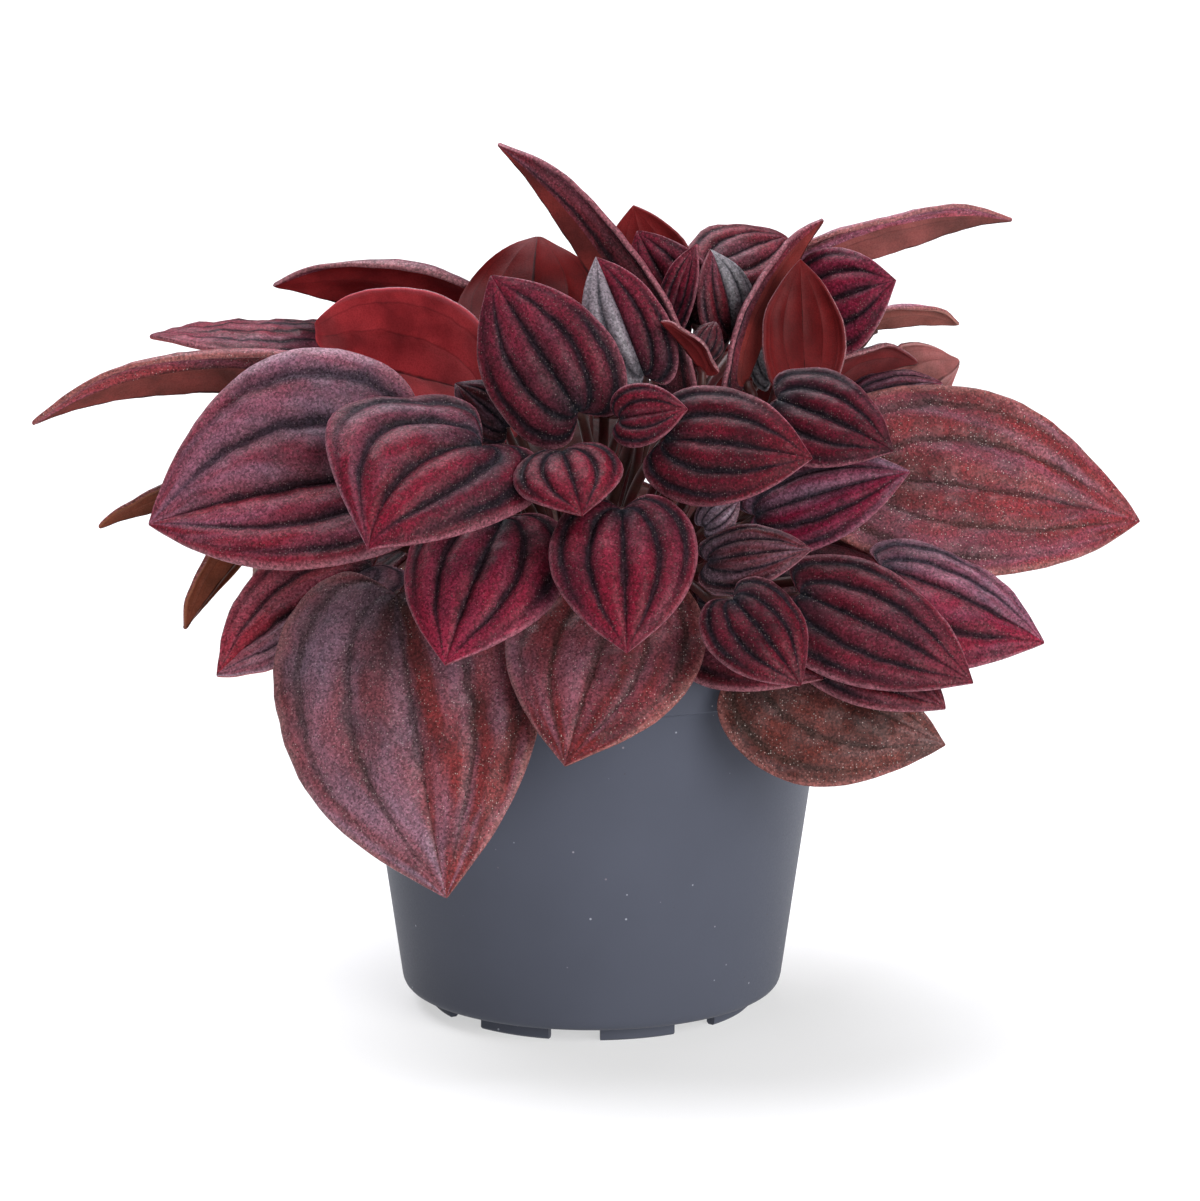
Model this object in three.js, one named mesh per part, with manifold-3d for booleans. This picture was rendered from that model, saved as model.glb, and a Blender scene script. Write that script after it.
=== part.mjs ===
// A ripple peperomia in its nursery pot. Millimetres, +Z up, front of the plant towards -Y.
// The origin is on the ground, under the middle of the pot.
import * as THREE from "three";
import { mergeVertices } from "three/addons/utils/BufferGeometryUtils.js";
import Module from "manifold-3d";

const wasm = await Module();
wasm.setup();

// ---------------------------------------------------------------- pot and soil

const POT_HEIGHT = 94;
const POT_SIDES = 40;
const SOIL_SIDES = 24;
const FLOOR_RADIUS = 45.8; // outer radius where the wall starts, just above the foot
const WALL_TOP_RADIUS = 57.0; // outer radius just under the rim band
const RIM_RADIUS = 60;
const RIM_DRAFT = 0.8; // the rim band is this much narrower at its lower edge
const RIM_BAND = 10.8; // height of the rim band
const RIM_LIP = 1.7; // thickness of the rim band at its top
const RIM_STEP = 0.6; // slope of the ledge under the rim band
const RIM_EDGE = 0.8; // the rim's outer edge is rounded off over this height, half as far in
const WALL = 1.4;
const FLOOR_THICKNESS = 1.6;
const BOTTOM_FILLET = 3.4;
const INNER_FILLET = 2;
const FOOT_HEIGHT = 3.8;
const FOOT_RADIUS = 39.6;
const FOOT_WIDTH = 2.4;
const FOOT_COUNT = 8;
const FOOT_ARC = 27; // degrees of each foot segment
const FOOT_TURN = -73.5; // direction of the middle of the first segment, degrees from +X
const FOOT_STEPS = 4;
const DRAIN_COUNT = 6;
const DRAIN_RADIUS = 4;
const DRAIN_CIRCLE = 24;
const DRAIN_SIDES = 8;

const GAP = 0.3; // clearance between pieces that touch
const SOIL_EDGE = 83; // height of the soil at the wall
const SOIL_SHOULDER = 84.5; // its height where the mound starts
const SOIL_CROWN = 87; // its height at the middle
const SOIL_SHOULDER_RADIUS = 46;
const SOIL_CROWN_RADIUS = 34;
const SOIL_CHAMFER = 3; // the soil keeps off the inner bend of the pot's bottom
const HOLE_DEPTH = 8; // a stalk's hole in the soil
const HOLE_SIDES = 4;

// ---------------------------------------------------------------- leaves

const BLADE = 1.2; // thickness of a fleshy blade
const STALK_SIDES = 5;
const STALK_SEGMENTS = 4;
const STALK_RADIUS = 0.9; // of the smallest leaf, and wider by STALK_GROWTH of the blade's length
const STALK_GROWTH = 0.009;
const STALK_TUCK = 3; // the stalk runs on under the blade by this much
const STALK_DROP = 0.6; // its middle lies this share of the blade's thickness below the blade's
const ROOT_SPREAD = 27; // radius of the patch that the stalks rise from
const ROOT_SPACING = 4.4;
const ROOT_ROUNDS = 200; // of pushing neighbours apart
const ROOT_DEPTH = 6; // the stalk's foot below the soil's crown
const NECK = 2; // it rises this far above the soil before it bends

// Half of a heart-shaped outline from the stalk's junction to the tip: along the midrib as a share
// of the blade's length, and out from it as a share of half the blade's width.
const OUTLINE = [
  [0, 0], [-0.07, 0.14], [-0.135, 0.36], [-0.115, 0.62], [-0.02, 0.83], [0.14, 0.97],
  [0.32, 1.0], [0.5, 0.92], [0.67, 0.73], [0.82, 0.46], [0.93, 0.19], [1, 0],
];
// Sunken veins run from junction to tip at these shares of the half width, with a ridge between two.
const VEINS = [0, 0.45, 0.8, 1];
// How finely a blade is split: across half of it and along it, by its length.
const GRIDS = [
  { upTo: 26, half: [0.225, 0.45, 1], rows: [0.16, 0.42, 0.72] },
  { upTo: 58, half: [0.225, 0.45, 0.8, 1], rows: [0.12, 0.32, 0.54, 0.78] },
  { upTo: Infinity, half: [0.225, 0.45, 0.625, 0.8, 1], rows: [0.12, 0.28, 0.46, 0.64, 0.82] },
];

const ROSE = 0x80404a;
const WINE = 0x74303f;
const MAGENTA = 0x6b2338;
const RED = 0x8a2c30;

// width: share of the length. arch: how far the midrib bends down along the blade, degrees.
// hook: more bend near the tip. cup: bend across the blade, up if positive, degrees.
// fold: rise of each half from the midrib, degrees. roll: turn of the margin back down, degrees.
// ripple: height of the ridges as a share of their width. wave: rise and fall of the margin, mm.
// sweep: sideways bow of the midrib as a share of the length, and skew: how much wider the half on
// that side is, both to the right of someone who looks along an upward blade if positive.
// lobe: how far the lobes reach back, as a share of the plain heart shape's.
const PLAIN = { hook: 0, cup: -30, fold: 0, roll: 0, wave: 0.5, sweep: 0, skew: 0, lobe: 1 };
const OLD = { ...PLAIN, width: 0.82, arch: 28, ripple: 0.12, wave: 0.8, colour: ROSE };
const GROWN = { ...PLAIN, width: 0.86, arch: 32, roll: 15, ripple: 0.22, colour: WINE };
const YOUNG = {
  ...PLAIN, width: 0.94, arch: 34, cup: -36, roll: 20, ripple: 0.34, wave: 0.3, colour: MAGENTA,
};
const TROUGH = {
  ...PLAIN, width: 0.5, arch: 6, hook: 10, cup: 45, fold: 28, roll: 120, ripple: 0.1, colour: RED,
};

// junction: where the stalk meets the blade. face: where the upper side looks, as degrees round
// from the front (-Y) towards +X, and degrees up.
const LEAVES = [
  // the skirt over the front of the rim
  {
    junction: [-45, -47, 109.5], tip: [-33, -80, 46], face: [-12, 22], kind: OLD, width: 0.88,
    skew: 0.03,
  },
  { junction: [7, -58, 113], tip: [-6, -84, 78], face: [-8, 30], kind: OLD, width: 1.0 },
  { junction: [7, -74, 135], tip: [8, -92, 106], face: [0, 18], kind: YOUNG, width: 1.0 },
  { junction: [-20, -60, 130], tip: [-33, -82, 101], face: [-15, 20], kind: YOUNG, width: 1.0 },
  {
    junction: [-25, -64, 148], tip: [-50, -84, 128], face: [-12, 25], kind: YOUNG, width: 1.25,
    sweep: 0.16, skew: 0.12, lobe: 1.7,
  },
  // the left side
  {
    junction: [-46, -42, 137], tip: [-103, -40, 125], face: [-20, 30], kind: GROWN, width: 0.94,
    cup: 0, fold: 10, skew: 0.2,
  },
  {
    junction: [-52, -22, 111], tip: [-88, -36, 88], face: [-35, 35],
    kind: OLD, cup: 10, fold: 8, skew: -0.08, colour: WINE,
  },
  { junction: [-82, 5, 124.5], tip: [-118, -5, 117.5], face: [180, 60], kind: TROUGH, colour: ROSE },
  { junction: [-77, -4, 119], tip: [-97, -16, 95], face: [-120, 10], kind: TROUGH, colour: ROSE },
  { junction: [-60, -4, 148], tip: [-132, -18, 145], face: [180, 70], kind: TROUGH, arch: 26 },
  {
    junction: [-61, 39, 157], tip: [-108, 30, 158], face: [0, 80],
    kind: OLD, width: 0.6, arch: 8, colour: WINE,
  },
  {
    junction: [-30, 40, 156], tip: [-78, 35, 170], face: [180, 70],
    kind: TROUGH, width: 1.0, arch: -4,
  },
  {
    junction: [-27, -7, 151], tip: [-66, 26, 161], face: [165, 30], kind: TROUGH, width: 0.84,
    hook: -85, roll: 40, fold: 10,
  },
  // the middle, standing up
  { junction: [-3, -52, 154], tip: [-23, -42, 184], face: [-5, 12], kind: YOUNG, width: 0.85 },
  {
    junction: [-15, 4, 164], tip: [-13, 26, 183], face: [175, 30], kind: TROUGH, width: 1.3,
    hook: -50, roll: 30, fold: 10,
  },
  {
    junction: [15, -20, 155], tip: [-22, -6, 210], face: [123, 30],
    kind: TROUGH, roll: 100, colour: WINE,
  },
  { junction: [12, -42, 161], tip: [1, -33, 187], face: [5, 10], kind: YOUNG, width: 0.68, fold: 18 },
  { junction: [15, 18, 169], tip: [10, 22, 191.5], face: [180, 20], kind: YOUNG, width: 1.0, colour: RED },
  { junction: [24, 2, 166], tip: [11, 10, 187], face: [-30, 30], kind: YOUNG, width: 0.8 },
  { junction: [19, -8, 168], tip: [25, -5, 186], face: [-20, 10], kind: YOUNG, width: 0.5, fold: 25 },
  {
    junction: [33, -7, 165], tip: [28, -1, 184], face: [30, 25],
    kind: YOUNG, width: 0.8, fold: 12, colour: WINE,
  },
  { junction: [29, 22, 176], tip: [48, 38, 181], face: [0, 45], kind: GROWN, width: 0.9 },
  // the right side
  {
    junction: [36, -22, 155], tip: [55, 2, 191], face: [-124, 24],
    kind: TROUGH, width: 0.45, colour: WINE,
  },
  {
    junction: [51, 9, 176], tip: [101, 14, 189], face: [180, 60],
    kind: TROUGH, arch: -8, hook: 25, colour: WINE,
  },
  {
    junction: [50, -26, 157], tip: [49, -16, 184], face: [180, 10],
    kind: YOUNG, width: 0.72, roll: 50, colour: RED,
  },
  { junction: [51, -4, 170], tip: [72, -10, 178], face: [15, 25], kind: YOUNG, width: 1.15 },
  {
    junction: [68, 30, 160], tip: [90, 34, 160.5], face: [180, 70],
    kind: TROUGH, width: 0.8, colour: ROSE,
  },
  { junction: [59, 9, 149.5], tip: [79, 16, 154], face: [180, 60], kind: TROUGH, width: 1.0 },
  {
    junction: [76, 24, 142], tip: [90, 38, 151], face: [170, 20],
    kind: TROUGH, width: 1.2, hook: -50, colour: ROSE,
  },
  { junction: [64, 0, 148], tip: [84, 2, 151], face: [0, 55], kind: YOUNG, width: 0.7 },
  {
    junction: [65, -18, 132], tip: [131, -6, 119], face: [15, 32], kind: OLD, width: 0.7,
    cup: -5, fold: 6, skew: -0.04, colour: WINE,
  },
  { junction: [43, -50, 156], tip: [69, -60, 146], face: [5, 30], kind: YOUNG, width: 0.85 },
  { junction: [17, -66, 150], tip: [50, -74, 147], face: [5, 25], kind: YOUNG, width: 0.85 },
  { junction: [38, -54, 130], tip: [73, -58, 141], face: [10, 30], kind: YOUNG, width: 0.65 },
  {
    junction: [27, -68, 122], tip: [50, -74, 126], face: [0, 30],
    kind: YOUNG, width: 0.65, colour: WINE,
  },
  { junction: [26, -62, 129], tip: [34, -61, 135], face: [0, 30], kind: YOUNG, colour: WINE },
  { junction: [32, -82, 116], tip: [47, -90, 98], face: [15, 20], kind: YOUNG },
  {
    junction: [25, -52, 109], tip: [53, -70, 95], face: [10, 30], kind: GROWN, width: 0.68,
    skew: 0.4,
  },
  {
    junction: [48, -62, 113], tip: [87, -74, 95], face: [12, 28],
    kind: GROWN, width: 0.68, colour: MAGENTA,
  },
  {
    junction: [68, -40, 114.5], tip: [105, -50, 99], face: [25, 30],
    kind: GROWN, width: 0.8, skew: 0.3, colour: MAGENTA,
  },
  { junction: [52, -60, 104], tip: [81, -70, 88], face: [15, 30], kind: GROWN, width: 0.7 },
  {
    junction: [40, -54, 96], tip: [82, -57, 76.5], face: [10, 15], kind: OLD, width: 0.72,
    skew: 0.4,
  },
  // the small heart leaves in front
  { junction: [7, -62, 154], tip: [22, -66, 157], face: [0, 20], kind: YOUNG, fold: 20 },
  { junction: [-6.5, -67, 147], tip: [-2, -80, 135], face: [0, 45], kind: YOUNG, width: 1.4 },
  { junction: [26, -44, 162], tip: [16, -46, 174], face: [130, 30], kind: TROUGH, width: 0.6 },
  { junction: [26, -26, 163], tip: [29, -22, 170], face: [0, 40], kind: YOUNG, colour: WINE },
  { junction: [43, -2, 153], tip: [41, 4, 171], face: [-30, 10], kind: YOUNG, width: 0.6, colour: WINE },
  { junction: [-20, -28, 146], tip: [-32, -26, 156], face: [0, 30], kind: YOUNG, colour: WINE },
  // the back of the plant
  { junction: [-48, 46, 118], tip: [-84, 78, 84], face: [-130, 25], kind: OLD },
  { junction: [-20, 58, 112], tip: [-34, 92, 66], face: [-165, 25], kind: OLD },
  { junction: [18, 60, 114], tip: [28, 93, 72], face: [165, 25], kind: OLD, colour: WINE },
  { junction: [52, 44, 116], tip: [88, 70, 84], face: [130, 25], kind: OLD },
  {
    junction: [-27, 46, 139], tip: [-50, 80, 116], face: [-150, 35],
    kind: GROWN, width: 1.0, colour: MAGENTA,
  },
  { junction: [3, 57, 133.5], tip: [3.5, 92, 109.5], face: [180, 30], kind: GROWN, width: 1.12 },
  {
    junction: [36, 44, 153], tip: [62, 68, 122], face: [145, 20],
    kind: GROWN, width: 1.0, colour: MAGENTA,
  },
  { junction: [-1, 48, 152], tip: [0, 84, 138], face: [180, 45], kind: YOUNG },
  { junction: [46.5, 14, 106.5], tip: [94, 34, 83.5], face: [103, 19], kind: GROWN, width: 1.0 },
  { junction: [-46, 21, 106.5], tip: [-76, 39, 74.5], face: [-110, 25], kind: GROWN, width: 0.95 },
];

// Catmull-Rom point of an open row of points, share t of the way along.
function splinePoint(points, t) {
  const last = points.length - 1;
  const at = t * last;
  const i = Math.min(Math.floor(at), last);
  const w = at - i;
  const [p, q, r, s] = [i - 1, i, i + 1, i + 2].map((k) => points[Math.min(Math.max(k, 0), last)]);
  return [0, 1].map((axis) => {
    const slopeIn = (r[axis] - p[axis]) / 2;
    const slopeOut = (s[axis] - q[axis]) / 2;
    const cube = (2 * q[axis] - 2 * r[axis] + slopeIn + slopeOut) * w ** 3;
    const square = (-3 * q[axis] + 3 * r[axis] - 2 * slopeIn - slopeOut) * w ** 2;
    return cube + square + slopeIn * w + q[axis];
  });
}

// Height of the ridges between the sunken veins, across half a blade.
function ridge(across) {
  for (let i = 1; i < VEINS.length; i++) {
    const low = VEINS[i - 1];
    const high = VEINS[i];
    if (across <= high) {
      return (high - low) * Math.sin((Math.PI * (across - low)) / (high - low));
    }
  }
  return 0;
}

function direction(azimuth, elevation) {
  const a = THREE.MathUtils.degToRad(azimuth);
  const e = THREE.MathUtils.degToRad(elevation);
  return new THREE.Vector3(Math.sin(a) * Math.cos(e), -Math.cos(a) * Math.cos(e), Math.sin(e));
}

const BEND_STEPS = 40; // stretches of the bent midrib
const HOOK_START = 0.6; // share of the length where the hook starts
const ROLL_START = 0.45; // share of the half width where the roll starts
const LIFT_STEPS = 8;
const VEIN_SPREAD = 1.3; // above 1, the veins run side by side for longer before they part
const MARGIN_WAVES = 3;
const MARGIN_SHIFT = 1.7; // the left margin's waves lag by this angle, and each leaf's by LEAF_SHIFT
const LEAF_SHIFT = 1.9;

// A leaf's own frame and the surface of its blade: along, up and side are its axes at the junction.
class Leaf {
  constructor(entry, index) {
    Object.assign(this, entry.kind, entry);
    this.name = `leaf_${String(index + 1).padStart(2, "0")}`;
    this.start = new THREE.Vector3(...this.junction);
    this.end = new THREE.Vector3(...this.tip);
    this.phase = index * LEAF_SHIFT;
    for (const angle of ["arch", "hook", "cup", "fold", "roll"]) {
      this[angle] = THREE.MathUtils.degToRad(this[angle]);
    }
    const chord = this.end.clone().sub(this.start);
    const forward = chord.clone().normalize();
    const normal = direction(...this.face);
    normal.addScaledVector(forward, -normal.dot(forward)).normalize();
    this.midrib = [[0, 0]];
    for (let i = 0; i < BEND_STEPS; i++) {
      const slope = this.slopeAt((i + 0.5) / BEND_STEPS);
      const [x, z] = this.midrib[i];
      this.midrib.push([x + Math.cos(slope) / BEND_STEPS, z - Math.sin(slope) / BEND_STEPS]);
    }
    const [x, z] = this.midrib[BEND_STEPS];
    const droop = Math.atan2(-z, x);
    this.length = chord.length() / Math.hypot(x, z);
    this.halfWidth = (this.width * this.length) / 2;
    this.along = forward.clone().multiplyScalar(Math.cos(droop)).addScaledVector(normal, Math.sin(droop));
    this.up = normal.clone().multiplyScalar(Math.cos(droop)).addScaledVector(forward, -Math.sin(droop));
    this.side = new THREE.Vector3().crossVectors(this.along, this.up);
    this.stalkRadius = STALK_RADIUS + STALK_GROWTH * this.length;
  }

  slopeAt(share) {
    if (share <= 0) {
      return 0;
    }
    const hooked = Math.max(0, (share - HOOK_START) / (1 - HOOK_START));
    return this.arch * share + this.hook * hooked ** 2;
  }

  // u runs from junction to tip, v from margin to margin (-1 to 1), off is the height above the
  // middle of the blade's thickness.
  point(u, v, off = 0) {
    const across = Math.abs(v);
    const sign = Math.sign(v);
    const [outAlong, outSide] = splinePoint(OUTLINE, u);
    const half = this.halfWidth * outSide * (1 + this.skew * sign);
    const back = outAlong < 0 ? this.lobe : 1;
    const a = (1 - across) * u ** VEIN_SPREAD + across * outAlong * back;
    const swell = u > 0 && u < 1 ? Math.sqrt(Math.sin(Math.PI * u)) : 0;
    const waving = Math.sin(2 * Math.PI * MARGIN_WAVES * u + this.phase + (v < 0 ? MARGIN_SHIFT : 0));
    const rise = this.ripple * ridge(across) * half + this.wave * across ** 4 * waving * swell + off;
    let mid = [Math.min(a, 0), 0];
    if (a > 0) {
      const step = Math.min(a, 1) * BEND_STEPS;
      const i = Math.min(Math.floor(step), BEND_STEPS - 1);
      const [p, q] = [this.midrib[i], this.midrib[i + 1]];
      mid = [p[0] + (q[0] - p[0]) * (step - i), p[1] + (q[1] - p[1]) * (step - i)];
    }
    let out = 0;
    let high = 0;
    for (let i = 0; i < LIFT_STEPS; i++) {
      const lift = this.liftAt((across * (i + 0.5)) / LIFT_STEPS, outSide);
      out += (Math.cos(lift) * across * half) / LIFT_STEPS;
      high += (Math.sin(lift) * across * half) / LIFT_STEPS;
    }
    const lift = across > 0 ? this.liftAt(across, outSide) : 0;
    const slope = this.slopeAt(a);
    const upHere = this.up.clone().multiplyScalar(Math.cos(slope));
    upHere.addScaledVector(this.along, Math.sin(slope));
    const bow = 4 * this.sweep * this.length * Math.max(a, 0) * (1 - a);
    return this.start.clone()
      .addScaledVector(this.along, mid[0] * this.length)
      .addScaledVector(this.up, mid[1] * this.length)
      .addScaledVector(this.side, bow + sign * (out - Math.sin(lift) * rise))
      .addScaledVector(upHere, high + Math.cos(lift) * rise);
  }

  // Slope across the blade, from the midrib (0) to the margin (1), up if positive.
  liftAt(across, outSide) {
    const rolled = Math.max(0, (across - ROLL_START) / (1 - ROLL_START));
    return this.fold + outSide * ((this.cup / 2) * across - this.roll * rolled ** 2);
  }

  // The blade as a closed shell of even thickness, its two faces split into triangles alike.
  blade() {
    const { half, rows } = GRIDS.find((grid) => this.length <= grid.upTo);
    const columns = [...half.map((v) => -v).reverse(), 0, ...half];
    const width = columns.length;
    const layer = 2 + rows.length * width;
    const positions = [];
    for (const off of [BLADE / 2, -BLADE / 2]) {
      positions.push(...this.point(0, 0, off));
      rows.forEach((u) => columns.forEach((v) => positions.push(...this.point(u, v, off))));
      positions.push(...this.point(1, 0, off));
    }
    const at = (row, column) => 1 + row * width + column;
    const topFace = [];
    for (let j = 0; j + 1 < width; j++) {
      topFace.push([0, at(0, j + 1), at(0, j)]);
      for (let i = 0; i + 1 < rows.length; i++) {
        topFace.push([at(i, j), at(i, j + 1), at(i + 1, j + 1)]);
        topFace.push([at(i, j), at(i + 1, j + 1), at(i + 1, j)]);
      }
      topFace.push([at(rows.length - 1, j), at(rows.length - 1, j + 1), layer - 1]);
    }
    const faces = topFace.flatMap(([a, b, c]) => [a, b, c, a + layer, c + layer, b + layer]);
    const left = [0, ...rows.map((_, i) => at(i, 0)), layer - 1];
    const right = [0, ...rows.map((_, i) => at(i, width - 1)), layer - 1].reverse();
    for (const edge of [left, right]) {
      for (let i = 0; i + 1 < edge.length; i++) {
        const [a, b] = [edge[i], edge[i + 1]];
        faces.push(a, b, b + layer, a, b + layer, a + layer);
      }
    }
    return indexed(positions, faces);
  }
}

function indexed(positions, faces) {
  const geometry = new THREE.BufferGeometry();
  geometry.setAttribute("position", new THREE.Float32BufferAttribute(positions, 3));
  geometry.setIndex(faces);
  return geometry;
}

function toSolid(geometry) {
  const bare = geometry.clone();
  bare.deleteAttribute("normal");
  bare.deleteAttribute("uv");
  const merged = mergeVertices(bare, 1e-4);
  return new wasm.Manifold(new wasm.Mesh({
    numProp: 3,
    vertProperties: Float32Array.from(merged.attributes.position.array),
    triVerts: Uint32Array.from(merged.index.array),
  }));
}

function toGeometry(solid) {
  const mesh = solid.getMesh();
  return indexed(Array.from(mesh.vertProperties), Array.from(mesh.triVerts));
}

// ---------------------------------------------------------------- stalks

// Where the stalks rise from the soil: low outer leaves from the rim of the patch, upright ones
// from its middle, and each pushed off its neighbours.
function plantRoots(leaves) {
  const roots = leaves.map((leaf) => {
    const reach = Math.hypot(leaf.start.x, leaf.start.y);
    const lean = Math.atan2(reach, leaf.start.z - SOIL_CROWN) / (Math.PI / 2);
    const radius = ROOT_SPREAD * lean;
    return new THREE.Vector2((leaf.start.x / reach) * radius, (leaf.start.y / reach) * radius);
  });
  const push = new THREE.Vector2();
  for (let round = 0; round < ROOT_ROUNDS; round++) {
    roots.forEach((a, i) => roots.slice(i + 1).forEach((b) => {
      push.subVectors(a, b);
      const short = ROOT_SPACING - push.length();
      if (short > 0) {
        push.setLength(short / 2);
        a.add(push);
        b.sub(push);
      }
    }));
  }
  return roots;
}

const UPWARD = new THREE.Vector3(0, 0, 1);
const STALK_PULL = 0.4; // how far each end's direction carries on, as a share of the stalk's reach
const STALK_SAMPLES = 32;
const HELD_SAMPLES = 4; // the straight stretch in and just above the soil doesn't bend
const STALK_CLEAR = 0.9;
const BLADE_CLEAR = 1.6;
const RIM_SAMPLES = 120;
const BEND_ROUNDS = 100;
const BEND_REACH = 10; // how far off a sample may be and still be met by a bending stalk
const BLADE_SAMPLING = 3.5; // spacing of the samples of a blade

// The route of a stalk: straight out of the soil, over, and in under the blade along its midrib.
function stalkRoute(leaf, root) {
  const foot = new THREE.Vector3(root.x, root.y, SOIL_CROWN - ROOT_DEPTH);
  const neck = new THREE.Vector3(root.x, root.y, SOIL_CROWN + NECK);
  const joint = leaf.start.clone().addScaledVector(leaf.up, -STALK_DROP * BLADE);
  const reach = neck.distanceTo(joint);
  const arrival = leaf.along.clone().add(leaf.up).normalize();
  const curve = new THREE.CubicBezierCurve3(
    neck,
    neck.clone().setZ(neck.z + STALK_PULL * reach),
    joint.clone().addScaledVector(arrival, -STALK_PULL * reach),
    joint,
  );
  return [foot, ...curve.getPoints(STALK_SAMPLES)];
}

// Bends every stalk clear of the other stalks and of the other leaves' blades.
function bendClear(leaves, routes) {
  const blades = leaves.map((leaf) => {
    const samples = [];
    const steps = Math.ceil(leaf.length / BLADE_SAMPLING);
    for (let i = 0; i <= steps; i++) {
      for (let j = -steps; j <= steps; j++) {
        samples.push(leaf.point(i / steps, j / steps));
      }
    }
    return samples;
  });
  const rim = [];
  for (let i = 0; i < RIM_SAMPLES; i++) {
    const around = new THREE.Vector3(RIM_RADIUS - RIM_LIP / 2, 0, POT_HEIGHT);
    rim.push(around.applyAxisAngle(UPWARD, (2 * Math.PI * i) / RIM_SAMPLES));
  }
  const near = routes.map((route, own) => [...blades.filter((_, index) => index !== own), rim].flatMap(
    (samples) => samples.filter((there) => route.some((here) => here.distanceTo(there) < BEND_REACH)),
  ));
  for (let round = 0; round < BEND_ROUNDS; round++) {
    routes.forEach((route, own) => {
      const radius = leaves[own].stalkRadius;
      for (let k = HELD_SAMPLES; k < route.length - 2; k++) {
        const here = route[k];
        const shift = new THREE.Vector3();
        routes.forEach((other, index) => {
          if (index !== own) {
            const need = radius + leaves[index].stalkRadius + STALK_CLEAR;
            other.forEach((there) => repel(here, there, need, shift));
          }
        });
        near[own].forEach((there) => repel(here, there, radius + BLADE / 2 + BLADE_CLEAR, shift));
        const level = route[k - 1].clone().add(route[k + 1]).multiplyScalar(0.5).sub(here);
        here.addScaledVector(shift, 0.5).addScaledVector(level, 0.5);
      }
    });
  }
}

function repel(here, there, need, shift) {
  const distance = here.distanceTo(there);
  if (distance < need && distance > 0) {
    const share = (need - distance) / distance;
    shift.x += (here.x - there.x) * share;
    shift.y += (here.y - there.y) * share;
    shift.z += (here.z - there.z) * share;
  }
}

function polygon(radius, sides) {
  const shape = new THREE.Shape();
  for (let i = 0; i < sides; i++) {
    const angle = (2 * Math.PI * i) / sides;
    const [x, y] = [radius * Math.cos(angle), radius * Math.sin(angle)];
    if (i === 0) {
      shape.moveTo(x, y);
    } else {
      shape.lineTo(x, y);
    }
  }
  shape.closePath();
  return shape;
}

// A route of straight stretches with a section of the extrusion at every point of it.
class Route extends THREE.Curve {
  constructor(points) {
    super();
    this.points = points;
  }

  getPoint(t) {
    const at = t * (this.points.length - 1);
    const i = Math.min(Math.floor(at), this.points.length - 2);
    return this.points[i].clone().lerp(this.points[i + 1], at - i);
  }

  getUtoTmapping(u) {
    return u;
  }
}

function stalkGeometry(leaf, route) {
  const every = STALK_SAMPLES / STALK_SEGMENTS;
  const points = [route[0]];
  for (let k = 1; k < route.length; k += every) {
    points.push(route[k]);
  }
  points.push(leaf.point(STALK_TUCK / leaf.length, 0, -STALK_DROP * BLADE));
  return new THREE.ExtrudeGeometry(polygon(leaf.stalkRadius, STALK_SIDES), {
    steps: points.length - 1,
    bevelEnabled: false,
    extrudePath: new Route(points),
  });
}

// ---------------------------------------------------------------- pot and soil shapes

function wallRadius(z) {
  const top = POT_HEIGHT - RIM_BAND;
  return FLOOR_RADIUS + ((WALL_TOP_RADIUS - FLOOR_RADIUS) * (z - FOOT_HEIGHT)) / (top - FOOT_HEIGHT);
}

function lathe(profile, sides) {
  const turned = new THREE.LatheGeometry(profile.map(([r, z]) => new THREE.Vector2(r, z)), sides);
  return turned.rotateX(Math.PI / 2);
}

function disc(x, y, radius, sides, low, high) {
  const depth = high - low;
  const prism = new THREE.ExtrudeGeometry(polygon(radius, sides), { depth, bevelEnabled: false });
  return prism.translate(x, y, low);
}

function footSegment(index) {
  const middle = FOOT_TURN + (360 / FOOT_COUNT) * index;
  const [from, to] = [middle - FOOT_ARC / 2, middle + FOOT_ARC / 2].map(THREE.MathUtils.degToRad);
  const shape = new THREE.Shape();
  shape.absarc(0, 0, FOOT_RADIUS, from, to, false);
  shape.absarc(0, 0, FOOT_RADIUS - FOOT_WIDTH, to, from, true);
  shape.closePath();
  return new THREE.ExtrudeGeometry(shape, {
    depth: FOOT_HEIGHT + FLOOR_THICKNESS / 2,
    curveSegments: FOOT_STEPS,
    bevelEnabled: false,
  });
}

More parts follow.
